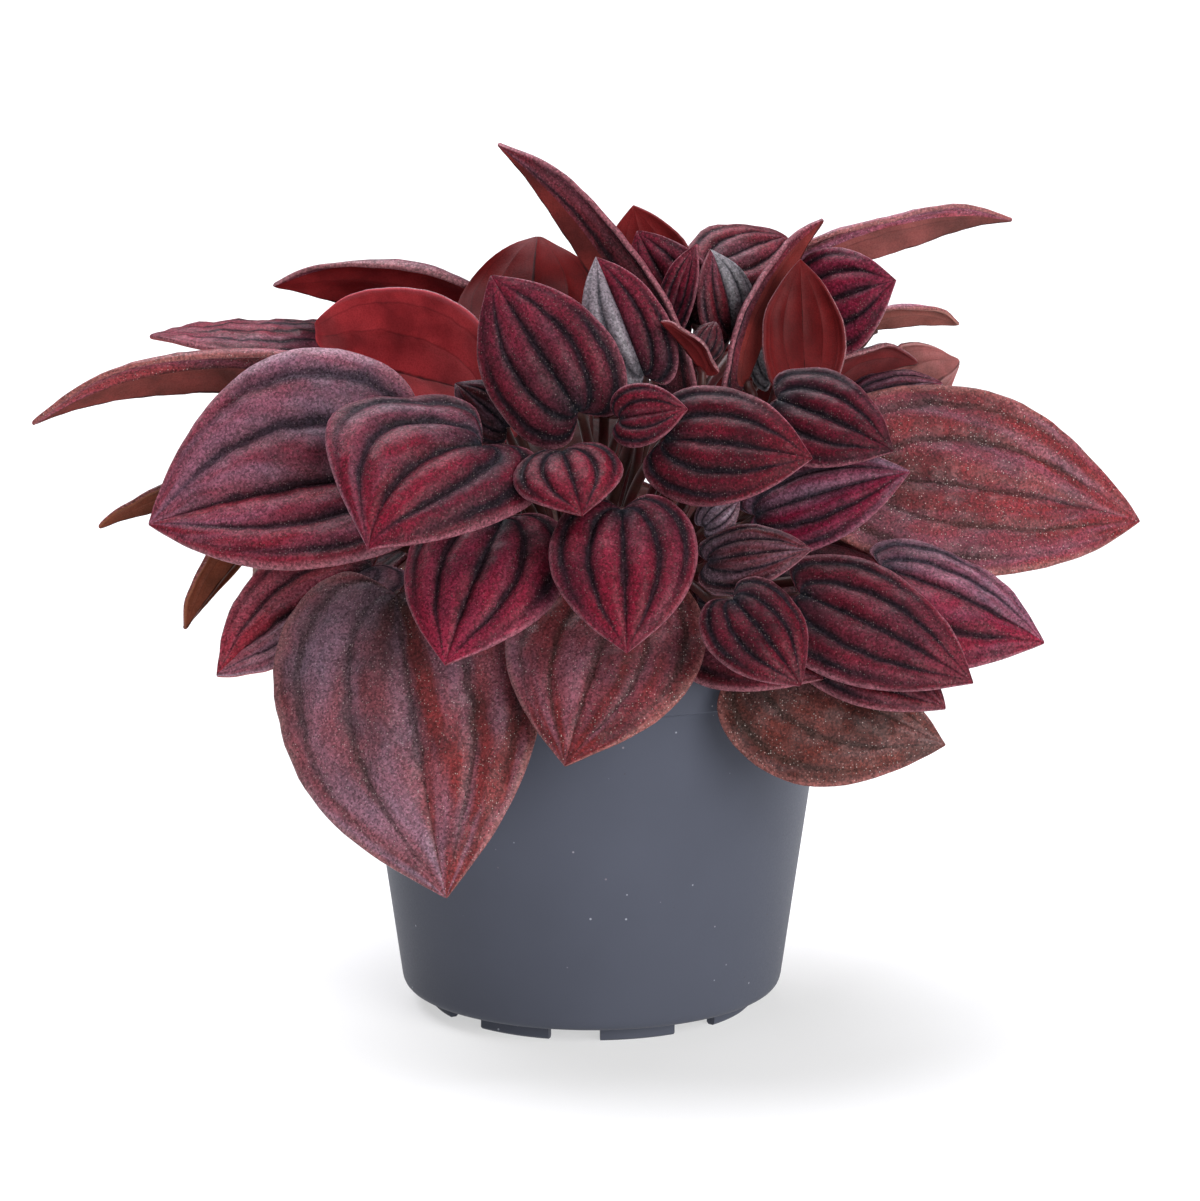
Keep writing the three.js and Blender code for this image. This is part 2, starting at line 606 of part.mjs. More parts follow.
function potSolid() {
  const rimLow = POT_HEIGHT - RIM_BAND;
  const inside = FOOT_HEIGHT + FLOOR_THICKNESS;
  const bend = BOTTOM_FILLET * (1 - Math.SQRT1_2);
  let pot = toSolid(lathe([
    [0, FOOT_HEIGHT],
    [FLOOR_RADIUS - BOTTOM_FILLET, FOOT_HEIGHT],
    [FLOOR_RADIUS - bend, FOOT_HEIGHT + bend],
    [wallRadius(FOOT_HEIGHT + BOTTOM_FILLET), FOOT_HEIGHT + BOTTOM_FILLET],
    [WALL_TOP_RADIUS, rimLow - RIM_STEP],
    [RIM_RADIUS - RIM_DRAFT, rimLow],
    [RIM_RADIUS, POT_HEIGHT - RIM_EDGE],
    [RIM_RADIUS - RIM_EDGE / 2, POT_HEIGHT],
    [RIM_RADIUS - RIM_LIP, POT_HEIGHT],
    [RIM_RADIUS - RIM_LIP - RIM_DRAFT, rimLow + WALL],
    [WALL_TOP_RADIUS - WALL, rimLow - RIM_STEP],
    [wallRadius(inside + INNER_FILLET) - WALL, inside + INNER_FILLET],
    [FLOOR_RADIUS - BOTTOM_FILLET, inside],
    [0, inside],
  ], POT_SIDES));
  for (let i = 0; i < FOOT_COUNT; i++) {
    pot = pot.add(toSolid(footSegment(i)));
  }
  for (let i = 0; i < DRAIN_COUNT; i++) {
    const angle = (2 * Math.PI * i) / DRAIN_COUNT;
    const [x, y] = [DRAIN_CIRCLE * Math.cos(angle), DRAIN_CIRCLE * Math.sin(angle)];
    pot = pot.subtract(toSolid(disc(x, y, DRAIN_RADIUS, DRAIN_SIDES, 0, inside + 1)));
  }
  return pot;
}

function soilSolid(leaves, roots) {
  const rimLow = POT_HEIGHT - RIM_BAND;
  const floor = FOOT_HEIGHT + FLOOR_THICKNESS + GAP;
  const inner = (z) => wallRadius(z) - WALL - 2 * GAP;
  const top = rimLow - INNER_FILLET;
  let soil = toSolid(lathe([
    [0, floor],
    [inner(floor) - SOIL_CHAMFER, floor],
    [inner(floor + SOIL_CHAMFER), floor + SOIL_CHAMFER],
    [inner(top), top],
    [inner(top), SOIL_EDGE],
    [SOIL_SHOULDER_RADIUS, SOIL_SHOULDER],
    [SOIL_CROWN_RADIUS, SOIL_CROWN],
    [0, SOIL_CROWN],
  ], SOIL_SIDES));
  leaves.forEach((leaf, i) => {
    const radius = (leaf.stalkRadius + GAP) / Math.cos(Math.PI / HOLE_SIDES);
    const { x, y } = roots[i];
    soil = soil.subtract(toSolid(disc(x, y, radius, HOLE_SIDES, SOIL_CROWN - HOLE_DEPTH, SOIL_CROWN + 1)));
  });
  return soil;
}

// ---------------------------------------------------------------- the assembly

function node(name, solid, colour, roughness) {
  const material = new THREE.MeshStandardMaterial({ color: colour, roughness, metalness: 0 });
  material.name = name;
  const mesh = new THREE.Mesh(toGeometry(solid), material);
  mesh.name = name;
  return mesh;
}

const peperomia = new THREE.Group();
const leaves = LEAVES.map((entry, index) => new Leaf(entry, index));
const roots = plantRoots(leaves);
const routes = leaves.map((leaf, index) => stalkRoute(leaf, roots[index]));
bendClear(leaves, routes);

peperomia.add(node("pot", potSolid(), 0x5b5f69, 0.55));
peperomia.add(node("soil", soilSolid(leaves, roots), 0x2e211a, 0.95));
leaves.forEach((leaf, index) => {
  const solid = toSolid(leaf.blade()).add(toSolid(stalkGeometry(leaf, routes[index])));
  peperomia.add(node(leaf.name, solid, leaf.colour, 0.5));
});

export default peperomia;
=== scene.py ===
"""A red ripple peperomia in its nursery pot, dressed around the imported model.

Metres, +Z up, the front of the plant towards -Y, the ground at 0. Sizes of the plant and of the pot
are written in millimetres and turned into metres where a mesh is made.
"""
import functools
import math

import bmesh
import bpy
import numpy as np
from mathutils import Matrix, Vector, noise


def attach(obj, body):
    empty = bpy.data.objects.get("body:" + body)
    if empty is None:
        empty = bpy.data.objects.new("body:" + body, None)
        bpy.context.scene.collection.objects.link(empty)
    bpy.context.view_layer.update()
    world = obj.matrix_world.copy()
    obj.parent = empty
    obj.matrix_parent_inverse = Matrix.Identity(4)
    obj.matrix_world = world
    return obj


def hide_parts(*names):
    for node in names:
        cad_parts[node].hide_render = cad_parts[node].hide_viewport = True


bl_info = {
    "name": "Ripple Peperomia",
    "version": (1, 0, 0),
    "blender": (4, 5, 0),
    "location": "3D View > Sidebar > Peperomia",
    "description": "A red ripple peperomia in a slate-grey nursery pot",
    "category": "Add Mesh",
}

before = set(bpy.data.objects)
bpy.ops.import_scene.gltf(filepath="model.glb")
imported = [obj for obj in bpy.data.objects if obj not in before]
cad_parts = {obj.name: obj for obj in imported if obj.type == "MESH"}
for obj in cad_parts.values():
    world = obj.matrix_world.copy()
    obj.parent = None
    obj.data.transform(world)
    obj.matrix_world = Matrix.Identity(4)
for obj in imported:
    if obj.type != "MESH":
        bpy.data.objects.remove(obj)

MM = 0.001


def linear(hex_colour):
    """sRGB hex to linear RGBA."""
    channels = [(hex_colour >> shift & 255) / 255 for shift in (16, 8, 0)]
    return (*[c / 12.92 if c <= 0.04045 else ((c + 0.055) / 1.055) ** 2.4 for c in channels], 1.0)


# Leaves, in millimetres

OUTLINE = np.array([
    (0, 0), (-0.07, 0.14), (-0.135, 0.36), (-0.115, 0.62), (-0.02, 0.83), (0.14, 0.97),
    (0.32, 1.0), (0.5, 0.92), (0.67, 0.73), (0.82, 0.46), (0.93, 0.19), (1, 0),
])  # half of a heart: along the midrib and out from it, as shares of the length and half width
VEINS = (0, 0.45, 0.8)  # sunken veins, as shares of the half width
VEIN_ENDS = ((0.62, 0.95), (0.4, 0.78))  # where the side veins start to run out and are gone
NOTCH_WIDTHS = (0.2, 0.17, 0.1)  # reach of each vein's notch to both sides
NOTCH_SHARPNESS = 1.7
RIDGE_HEIGHT = 0.4
LIP_HEIGHT = 0.05  # the margin's thickened lip
LIP_PLACE = 0.93
LIP_WIDTH = 0.05
VEIN_SPREAD = 1.3
SWELLINGS = ((0.4, 9.0, 0.4), (1.9, 6.3, 0.35), (2.8, 4.6, 0.25))  # way, wavelength, share
BEND_STEPS = 160
HOOK_START = 0.6
ROLL_START = 0.45
LIFT_STEPS = 12
MARGIN_WAVES = 3
MARGIN_SHIFT = 1.7
LEAF_SHIFT = 1.9
EDGE_ROUND = 0.8  # the blade's edge is rounded over this width
TIP_ROUND = 1.4  # and thins out over this length at its tip
EDGE_SHARE = 0.12  # the most of the half width that the rounding takes
FULL_LENGTH = 50  # a blade of this length has the set number of rows
ROW_LIMITS = (0.45, 1.15)
ROW_EVENNESS = 0.35
COLUMNS = (12, 9, 6, 6)  # points to the first vein, to the second, to the edge and round it
HALVES = (0, 0.47, 0.53, 1)  # where one half's silver and painted sheen give way to the other's

STALK_SIDES = 14
STALK_RADIUS = 0.9
STALK_GROWTH = 0.009  # thicker by this share of the leaf's length
STALK_FOOT = 0.6  # the stalk narrows to this share at its foot
STALK_END = 0.55  # and to this one under the blade
STALK_TUCK = 3
STALK_DROP = 0.6
STALK_PULL = 0.4
STALK_SAMPLES = 32
HELD_SAMPLES = 4
STALK_CLEAR = 0.9
BLADE_CLEAR = 1.6
BLADE_SAMPLING = 3.5
RIM_SAMPLES = 120
BEND_ROUNDS = 100
BEND_REACH = 10
ROOT_SPREAD = 27
ROOT_SPACING = 4.4
ROOT_ROUNDS = 200
ROOT_DEPTH = 6
NECK = 2

# The same measures as the solids: width as a share of the length, angles in degrees, wave in
# millimetres. pucker is the height of the small swellings between the veins, in millimetres.
# The tint is what the leaf's colours are multiplied by: its own tone, with painted light and
# shade for how lit the leaf is where it hangs. The silver amounts say how far the skin has lifted
# and turned silver, on the left half (against the side axis) and on the right one; small amounts,
# given on the half that faces up to the light, are a painted lilac sheen. band is the share of each
# half beyond which the upper skin comes round the rolled margin to the underside.
PLAIN = dict(
    hook=0, cup=-30, fold=0, roll=0, wave=0.5, sweep=0, skew=0, lobe=1, pucker=0.2, tint=1,
    silver=0, band=(1, 1),
)
ROSE, WINE, MAGENTA, RED = "leaf_rose", "leaf_wine", "leaf_magenta", "leaf_red"


def leaf_kind(**usual):
    """A kind of leaf, called with a leaf's places and with what sets it apart from its kind."""
    return lambda *places, **own: (places, PLAIN | usual | own)


OLD = leaf_kind(width=0.82, arch=28, ripple=0.12, wave=0.8, pucker=0.5, finish=ROSE)
GROWN = leaf_kind(width=0.86, arch=32, roll=15, ripple=0.2, pucker=0.3, finish=WINE)
YOUNG = leaf_kind(width=0.94, arch=34, cup=-36, roll=20, ripple=0.26, wave=0.3, finish=MAGENTA)
TROUGH = leaf_kind(
    width=0.5, arch=6, hook=10, cup=45, fold=28, roll=120, ripple=0.1, finish=RED)

# Places: junction with the stalk, tip, and the way the upper side faces (degrees round from -Y
# towards +X and degrees up).
LEAVES = [
    OLD(-45, -47, 109.5, -33, -80, 46, -12, 22, width=0.88, skew=0.03, tint=(1.1, 1, 1.05),
        silver=(0.25, 0.42)),
    OLD(7, -58, 113, -6, -84, 78, -8, 30, width=1, tint=(1, 0.75, 0.8), silver=(0.1, 0.26)),
    YOUNG(7, -74, 135, 8, -92, 106, 0, 18, width=1, tint=(1.1, 0.85, 0.95)),
    YOUNG(-20, -60, 130, -33, -82, 101, -15, 20, width=1, tint=(1.7, 1.45, 1.6)),
    YOUNG(-25, -64, 148, -50, -84, 128, -12, 25, width=1.25, sweep=0.16, skew=0.12, lobe=1.7,
        tint=(1.15, 0.85, 0.95), silver=(0.1, 0.25)),
    GROWN(-46, -42, 137, -103, -40, 125, -20, 30, width=0.94, cup=0, fold=10, skew=0.2,
        tint=(1.5, 1.1, 1.3), silver=(0.22, 0.38)),
    OLD(-52, -22, 111, -88, -36, 88, -35, 35, finish=WINE, cup=10, fold=8, skew=-0.08,
        tint=(2.2, 1.8, 1.8), silver=(0.45, 0.1)),
    TROUGH(-82, 5, 124.5, -118, -5, 117.5, 180, 60, finish=ROSE, tint=(1.4, 1.3, 1)),
    TROUGH(-77, -4, 119, -97, -16, 95, -120, 10, finish=ROSE, tint=(1.4, 1.3, 1)),
    TROUGH(-60, -4, 148, -132, -18, 145, 180, 70, finish=ROSE, arch=26, tint=(1.4, 1.05, 1.3),
        band=(0.45, 1)),
    OLD(-61, 39, 157, -108, 30, 158, 0, 80, finish=WINE, width=0.6, arch=8, ripple=0.03, wave=0.1,
        tint=(1.6, 1.5, 1.7)),
    TROUGH(-30, 40, 156, -78, 35, 170, 180, 70, width=1, arch=-4, tint=(1.1, 1.15, 1.15),
        band=(0.8, 1)),
    TROUGH(-27, -7, 151, -66, 26, 161, 165, 30, width=0.84, hook=-85, roll=40, fold=10,
        tint=(2.7, 2.9, 3.2)),
    YOUNG(-3, -52, 154, -23, -42, 184, -5, 12, width=0.85),
    TROUGH(-15, 4, 164, -13, 26, 183, 175, 30, width=1.3, hook=-50, roll=30, fold=10,
        tint=(0.5, 0.22, 0.22)),
    TROUGH(15, -20, 155, -22, -6, 210, 123, 30, finish=WINE, roll=100, tint=1.4, band=(0.3, 1)),
    YOUNG(12, -42, 161, 1, -33, 187, 5, 10, width=0.68, fold=18, silver=(0.7, 0)),
    YOUNG(15, 18, 169, 10, 22, 191.5, 180, 20, finish=RED, width=1, tint=0.8, ripple=0.1),
    YOUNG(24, 2, 166, 11, 10, 187, -30, 30, width=0.8),
    YOUNG(19, -8, 168, 25, -5, 186, -20, 10, width=0.5, fold=25),
    YOUNG(33, -7, 165, 28, -1, 184, 30, 25, finish=WINE, width=0.8, fold=12, silver=(0.15, 0.85)),
    GROWN(29, 22, 176, 48, 38, 181, 0, 45, width=0.9, tint=(1.5, 1.3, 1.3)),
    TROUGH(36, -22, 155, 55, 2, 191, -124, 24, finish=WINE, width=0.45, tint=1.3, band=(1, 0.55)),
    TROUGH(51, 9, 176, 101, 14, 189, 180, 60, finish=ROSE, arch=-8, hook=25, tint=(1.6, 1.6, 2.1),
        band=(1, 0.55)),
    YOUNG(50, -26, 157, 49, -16, 184, 180, 10, finish=RED, width=0.72, roll=50,
        tint=(0.6, 0.5, 0.5), ripple=0.08),
    YOUNG(51, -4, 170, 72, -10, 178, 15, 25, width=1.15, tint=(1.2, 1.1, 1.3)),
    TROUGH(68, 30, 160, 90, 34, 160.5, 180, 70, finish=ROSE, width=0.8, tint=(1.8, 2, 2.4)),
    TROUGH(59, 9, 149.5, 79, 16, 154, 180, 60, width=1, tint=(0.6, 0.8, 0.8)),
    TROUGH(76, 24, 142, 90, 38, 151, 170, 20, finish=ROSE, width=1.2, hook=-50,
        tint=(2.2, 2.6, 3.6)),
    YOUNG(64, 0, 148, 84, 2, 151, 0, 55, width=0.7, silver=0.3),
    OLD(65, -18, 132, 131, -6, 119, 15, 32, width=0.7, cup=-5, fold=6, skew=-0.04,
        tint=(1.1, 0.82, 0.95), silver=(0.15, 0.1)),
    YOUNG(43, -50, 156, 69, -60, 146, 5, 30, width=0.85, tint=(0.65, 0.55, 0.6)),
    YOUNG(17, -66, 150, 50, -74, 147, 5, 25, width=0.85, tint=(0.75, 0.5, 0.55)),
    YOUNG(38, -54, 130, 73, -58, 141, 10, 30, width=0.65, tint=(1.2, 0.85, 1.3),
        silver=(0.4, 0.25)),
    YOUNG(27, -68, 122, 50, -74, 126, 0, 30, finish=WINE, width=0.65, tint=(0.75, 0.9, 0.75),
        silver=0.3),
    YOUNG(26, -62, 129, 34, -61, 135, 0, 30, finish=WINE, silver=0.5),
    YOUNG(32, -82, 116, 47, -90, 98, 15, 20, tint=(0.75, 0.55, 0.6)),
    GROWN(25, -52, 109, 53, -70, 95, 10, 30, width=0.68, skew=0.4),
    GROWN(48, -62, 113, 87, -74, 95, 12, 28, finish=MAGENTA, width=0.68, tint=(1, 0.95, 0.9)),
    GROWN(68, -40, 114.5, 105, -50, 99, 25, 30, finish=MAGENTA, width=0.8, skew=0.3,
        tint=(1.5, 0.95, 1.2), silver=(0.35, 0.1)),
    GROWN(52, -60, 104, 81, -70, 88, 15, 30, width=0.7),
    OLD(40, -54, 96, 82, -57, 76.5, 10, 15, width=0.72, skew=0.4, tint=(0.7, 0.9, 0.7)),
    YOUNG(7, -62, 154, 22, -66, 157, 0, 20, fold=20, tint=(1, 0.75, 0.8), silver=0.1),
    YOUNG(-6.5, -67, 147, -2, -80, 135, 0, 45, width=1.4, tint=(1.1, 0.8, 0.85)),
    TROUGH(26, -44, 162, 16, -46, 174, 130, 30, width=0.6, tint=0.6),
    YOUNG(26, -26, 163, 29, -22, 170, 0, 40, finish=WINE, tint=0.5),
    YOUNG(43, -2, 153, 41, 4, 171, -30, 10, finish=WINE, width=0.6, silver=1),
    YOUNG(-20, -28, 146, -32, -26, 156, 0, 30, finish=WINE, tint=0.4, silver=0.25),
    OLD(-48, 46, 118, -84, 78, 84, -130, 25),
    OLD(-20, 58, 112, -34, 92, 66, -165, 25),
    OLD(18, 60, 114, 28, 93, 72, 165, 25, finish=WINE, wave=0.6),
    OLD(52, 44, 116, 88, 70, 84, 130, 25),
    GROWN(-27, 46, 139, -50, 80, 116, -150, 35, finish=MAGENTA, width=1),
    GROWN(3, 57, 133.5, 3.5, 92, 109.5, 180, 30, width=1.12),
    GROWN(36, 44, 153, 62, 68, 122, 145, 20, finish=MAGENTA, width=1),
    YOUNG(-1, 48, 152, 0, 84, 138, 180, 45),
    GROWN(46.5, 14, 106.5, 94, 34, 83.5, 103, 19, width=1),
    GROWN(-46, 21, 106.5, -76, 39, 74.5, -110, 25, width=0.95),
]


def unit(vector):
    return vector / np.linalg.norm(vector)


def outline(share):
    """Points of the heart outline, a share of the way from junction to tip."""
    last = len(OUTLINE) - 1
    at = share * last
    i = np.minimum(np.floor(at).astype(int), last)
    w = (at - i)[..., None]
    p, q, r, s = (OUTLINE[np.clip(i + k, 0, last)] for k in (-1, 0, 1, 2))
    slope_in, slope_out = (r - p) / 2, (s - q) / 2
    cube = (2 * q - 2 * r + slope_in + slope_out) * w**3
    square = (-3 * q + 3 * r - 2 * slope_in - slope_out) * w**2
    point = cube + square + slope_in * w + q
    return point[..., 0], point[..., 1]


def notch(across, vein, width):
    """1 down in a vein, running out to 0 on both sides of it."""
    return np.clip(1 - np.abs(across - vein) / width, 0, 1) ** NOTCH_SHARPNESS


def ease(value, low, high):
    """From 0 at low to 1 at high, level at both ends."""
    t = np.clip((value - low) / (high - low), 0, 1)
    return t * t * (3 - 2 * t)


def ridge(across, along):
    """Height of the ridges between the sunken veins, as a share of half the blade's width. The side
    veins run out before the tip, the outer one first."""
    height = RIDGE_HEIGHT * (1 - across**3) * (1 - notch(across, 0, NOTCH_WIDTHS[0]))
    for vein, width, (last_deep, run_out) in zip(VEINS[1:], NOTCH_WIDTHS[1:], VEIN_ENDS):
        height *= 1 - (1 - ease(along, last_deep, run_out)) * notch(across, vein, width)
    return height + LIP_HEIGHT * np.exp(-((across - LIP_PLACE) / LIP_WIDTH) ** 2)


class Leaf:
    """A leaf's axes at its junction and the surface of its blade."""

    def __init__(self, index, places, measures):
        self.__dict__.update(measures)
        self.name = f"leaf_{index + 1:02d}"
        self.start = np.array(places[:3], float)
        self.phase = index * LEAF_SHIFT
        for angle in ("arch", "hook", "cup", "fold", "roll"):
            setattr(self, angle, math.radians(getattr(self, angle)))
        chord = places[3:6] - self.start
        forward = unit(chord)
        azimuth, elevation = np.radians(places[6:])
        level = math.cos(elevation)
        normal = [math.sin(azimuth) * level, -math.cos(azimuth) * level, math.sin(elevation)]
        normal = unit(normal - np.dot(normal, forward) * forward)
        slopes = self.slope_at((np.arange(BEND_STEPS) + 0.5) / BEND_STEPS)
        steps = np.stack([np.cos(slopes), -np.sin(slopes)], 1) / BEND_STEPS
        self.midrib = np.vstack([(0, 0), np.cumsum(steps, 0)])
        x, z = self.midrib[-1]
        droop = math.atan2(-z, x)
        self.length = np.linalg.norm(chord) / math.hypot(x, z)
        self.half_width = self.width * self.length / 2
        self.along = forward * math.cos(droop) + normal * math.sin(droop)
        self.up = normal * math.cos(droop) - forward * math.sin(droop)
        self.side = np.cross(self.along, self.up)
        self.stalk_radius = STALK_RADIUS + STALK_GROWTH * self.length

    def slope_at(self, share):
        share = np.maximum(share, 0)
        hooked = np.maximum(0, (share - HOOK_START) / (1 - HOOK_START))
        return self.arch * share + self.hook * hooked**2

    def lift_at(self, across, out_side):
        """Slope across the blade, from the midrib (0) to the margin (1), up if positive."""
        rolled = np.maximum(0, (across - ROLL_START) / (1 - ROLL_START))
        return self.fold + out_side * (self.cup / 2 * across - self.roll * rolled**2)

    def swelling(self, along, out):
        """Small uneven swellings, from the place on the flat blade in millimetres."""
        height = np.zeros_like(along)
        for turn, wavelength, share in SWELLINGS:
            way = along * math.cos(turn) + out * math.sin(turn)
            height += share * np.sin(2 * np.pi * way / wavelength + self.phase * (1 + turn))
        return self.pucker * height

    def point(self, u, v, off=0.0, fine=0.0):
        """u runs from junction to tip, v from margin to margin (-1 to 1), off is the height above
        the middle of the blade's thickness. fine brings in the small swellings."""
        u, v, off = np.broadcast_arrays(np.asarray(u, float), np.asarray(v, float), off)
        across, sign = np.abs(v), np.sign(v)
        out_along, out_side = outline(u)
        half = self.half_width * out_side * (1 + self.skew * sign)
        back = np.where(out_along < 0, self.lobe, 1)
        a = (1 - across) * u**VEIN_SPREAD + across * out_along * back
        swell = np.sqrt(np.clip(np.sin(np.pi * u), 0, None))
        lag = np.where(v < 0, MARGIN_SHIFT, 0)
        waving = np.sin(2 * np.pi * MARGIN_WAVES * u + self.phase + lag)
        rise = self.ripple * ridge(across, u) * half + self.wave * across**4 * waving * swell + off
        rise = rise + fine * swell * self.swelling(a * self.length, v * half)
        shares = np.linspace(0, 1, BEND_STEPS + 1)
        inside = np.clip(a, 0, 1)
        mid_x = np.where(a > 0, np.interp(inside, shares, self.midrib[:, 0]), a)
        mid_z = np.interp(inside, shares, self.midrib[:, 1])
        steps = (np.arange(LIFT_STEPS) + 0.5) / LIFT_STEPS
        lifts = self.lift_at(across[..., None] * steps, out_side[..., None])
        out = np.cos(lifts).mean(-1) * across * half
        high = np.sin(lifts).mean(-1) * across * half
        lift = np.where(across > 0, self.lift_at(across, out_side), 0)
        slope = self.slope_at(a)[..., None]
        up_here = self.up * np.cos(slope) + self.along * np.sin(slope)
        bow = 4 * self.sweep * self.length * np.maximum(a, 0) * (1 - a)
        sideways = bow + sign * (out - np.sin(lift) * rise)
        return (
            self.start
            + self.along * (mid_x * self.length)[..., None]
            + self.up * (mid_z * self.length)[..., None]
            + self.side * sideways[..., None]
            + up_here * (high + np.cos(lift) * rise)[..., None]
        )


def plant_roots(leaves):
    """Where the stalks rise, each leaning out as far as its leaf and pushed off its neighbours."""
    roots = []
    for leaf in leaves:
        reach = math.hypot(*leaf.start[:2])
        lean = math.atan2(reach, leaf.start[2] - SOIL_CROWN) / (math.pi / 2)
        roots.append(leaf.start[:2] / reach * ROOT_SPREAD * lean)
    for _ in range(ROOT_ROUNDS):
        for i, here in enumerate(roots):
            for there in roots[i + 1:]:
                apart = here - there
                distance = math.hypot(*apart)
                if distance < ROOT_SPACING:
                    apart *= (ROOT_SPACING - distance) / 2 / distance
                    here += apart
                    there -= apart
    return np.array(roots)


def stalk_route(leaf, root, blade):
    """Straight out of the soil, over, and in under the blade along its midrib."""
    foot = np.array([*root, SOIL_CROWN - ROOT_DEPTH])
    neck = np.array([*root, SOIL_CROWN + NECK])
    joint = leaf.start - leaf.up * STALK_DROP * blade
    reach = np.linalg.norm(joint - neck)
    arrival = unit(leaf.along + leaf.up)
    over = neck + np.array([0, 0, STALK_PULL * reach])
    under = joint - arrival * STALK_PULL * reach
    t = np.linspace(0, 1, STALK_SAMPLES + 1)[:, None]
    rise = (1 - t)**3 * neck + 3 * t * (1 - t)**2 * over
    return np.vstack([foot, rise + 3 * t**2 * (1 - t) * under + t**3 * joint])


def push_off(here, there, need):
    """The sums of the steps that take each point to its distance from the others."""
    apart = here[:, None] - there[None]
    distance = np.sqrt(np.einsum("ijk,ijk->ij", apart, apart))
    share = np.where(distance < need, (need - distance) / np.maximum(distance, 1e-9), 0)
    return np.einsum("ij,ijk->ik", share, apart)


def bend_clear(leaves, routes, blade):
    """Bends every stalk clear of the other stalks, the other blades and the pot's rim."""
    blades = []
    for leaf in leaves:
        steps = math.ceil(leaf.length / BLADE_SAMPLING)
        u, v = np.arange(steps + 1) / steps, np.arange(-steps, steps + 1) / steps
        blades.append(leaf.point(u[:, None], v[None, :]).reshape(-1, 3))
    angles = 2 * np.pi * np.arange(RIM_SAMPLES) / RIM_SAMPLES
    ring = RIM_RADIUS - RIM_LIP / 2
    height = np.full(RIM_SAMPLES, POT_HEIGHT)
    rim = np.stack([ring * np.cos(angles), ring * np.sin(angles), height], 1)
    radii = np.array([leaf.stalk_radius for leaf in leaves])
    count = routes.shape[1]
    everything = routes.reshape(-1, 3)
    owner = np.repeat(np.arange(len(leaves)), count)
    near, beside, need = [], [], []
    for own, route in enumerate(routes):
        samples = np.vstack([*(b for i, b in enumerate(blades) if i != own), rim])
        gaps = np.linalg.norm(samples[:, None] - route[None], axis=2)
        near.append(samples[gaps.min(1) < BEND_REACH])
        gaps = np.linalg.norm(everything[:, None] - route[None], axis=2)
        beside.append(np.flatnonzero((gaps.min(1) < BEND_REACH) & (owner != own)))
        need.append(radii[owner[beside[own]]] + radii[own] + STALK_CLEAR)
    for _ in range(BEND_ROUNDS):
        for own, route in enumerate(routes):
            here = route[HELD_SAMPLES:-2]
            shift = push_off(here, everything[beside[own]], need[own])
            shift += push_off(here, near[own], radii[own] + blade / 2 + BLADE_CLEAR)
            level = (route[HELD_SAMPLES - 1:-3] + route[HELD_SAMPLES + 1:-1]) / 2 - here
            route[HELD_SAMPLES:-2] = here + 0.5 * shift + 0.5 * level


# Pot and soil, in millimetres

POT_HEIGHT = 94
POT_SIDES = 192
FLOOR_RADIUS = 45.8
WALL_TOP_RADIUS = 57.0
RIM_RADIUS = 60
RIM_DRAFT = 0.8
RIM_BAND = 10.8
RIM_LIP = 1.7
RIM_STEP = 0.6
WALL = 1.4
FLOOR_THICKNESS = 1.6
BOTTOM_FILLET = 3.4
INNER_FILLET = 2
FOOT_HEIGHT = 3.8
FOOT_RADIUS = 39.6
FOOT_WIDTH = 2.4
FOOT_COUNT = 8
FOOT_ARC = 27
FOOT_TURN = -73.5
FOOT_STEPS = 16
DRAIN_COUNT = 6
DRAIN_RADIUS = 4
DRAIN_CIRCLE = 24
DRAIN_SIDES = 32
GATE_RADIUS = 2.2  # the stub left in the middle of the floor where the plastic came in
GATE_HEIGHT = 0.5

GAP = 0.3
SOIL_EDGE = 83
SOIL_SHOULDER = 84.5
SOIL_CROWN = 87
SOIL_SHOULDER_RADIUS = 46
SOIL_CROWN_RADIUS = 34
SOIL_CHAMFER = 3
SOIL_SIDES = 160
SOIL_RINGS = 60
LUMP_SIZE = 4
CRUMB_COUNT = 420
CRUMB_SEED = 11
CRUMB_RADII = (0.5, 1.5)
CRUMB_MARGIN = 3
CRUMB_SQUASH = (1, 1, 0.7)
LATHE_TURN = 0.37  # of one side, so that no corner of a turned form lies on an axis


def wall_radius(z):
    top = POT_HEIGHT - RIM_BAND
    return FLOOR_RADIUS + (WALL_TOP_RADIUS - FLOOR_RADIUS) * (z - FOOT_HEIGHT) / (top - FOOT_HEIGHT)


def rounded(corners, steps=6):
    """A profile whose corners (radius, height, rounding) are turned into bends."""
    path = []
    for i, (x, z, rounding) in enumerate(corners):
        here = np.array([x, z], float)
        if not rounding:
            path.append(here)
            continue
        before = unit(np.array(corners[i - 1][:2]) - here)
        after = unit(np.array(corners[i + 1][:2]) - here)
        reach = rounding / math.tan(math.acos(np.clip(before.dot(after), -1, 1)) / 2)
        first, last = here + before * reach, here + after * reach
        for t in np.linspace(0, 1, steps + 1):
            path.append((1 - t)**2 * first + 2 * t * (1 - t) * here + t**2 * last)
    return path


def ring_faces(count, sides):
    """Faces that join rings of points, with a single point before the first and after the last."""
    at = lambda ring, side: 1 + ring * sides + side % sides
    faces = [(0, at(0, s + 1), at(0, s)) for s in range(sides)]
    for r in range(count - 1):
        faces += [(at(r, s), at(r, s + 1), at(r + 1, s + 1), at(r + 1, s)) for s in range(sides)]
    last = 1 + count * sides
    return faces + [(at(count - 1, s), at(count - 1, s + 1), last) for s in range(sides)]


def lathe(profile, sides):
    """Points and faces of a profile turned round the Z axis, from the axis back to the axis."""
    rings = profile[1:-1]
    angles = 2 * np.pi * (np.arange(sides) + LATHE_TURN) / sides
    points = [(0, 0, profile[0][1])]
    for radius, height in rings:
        points += [(radius * math.cos(a), radius * math.sin(a), height) for a in angles]
    points.append((0, 0, profile[-1][1]))
    return points, ring_faces(len(rings), sides)


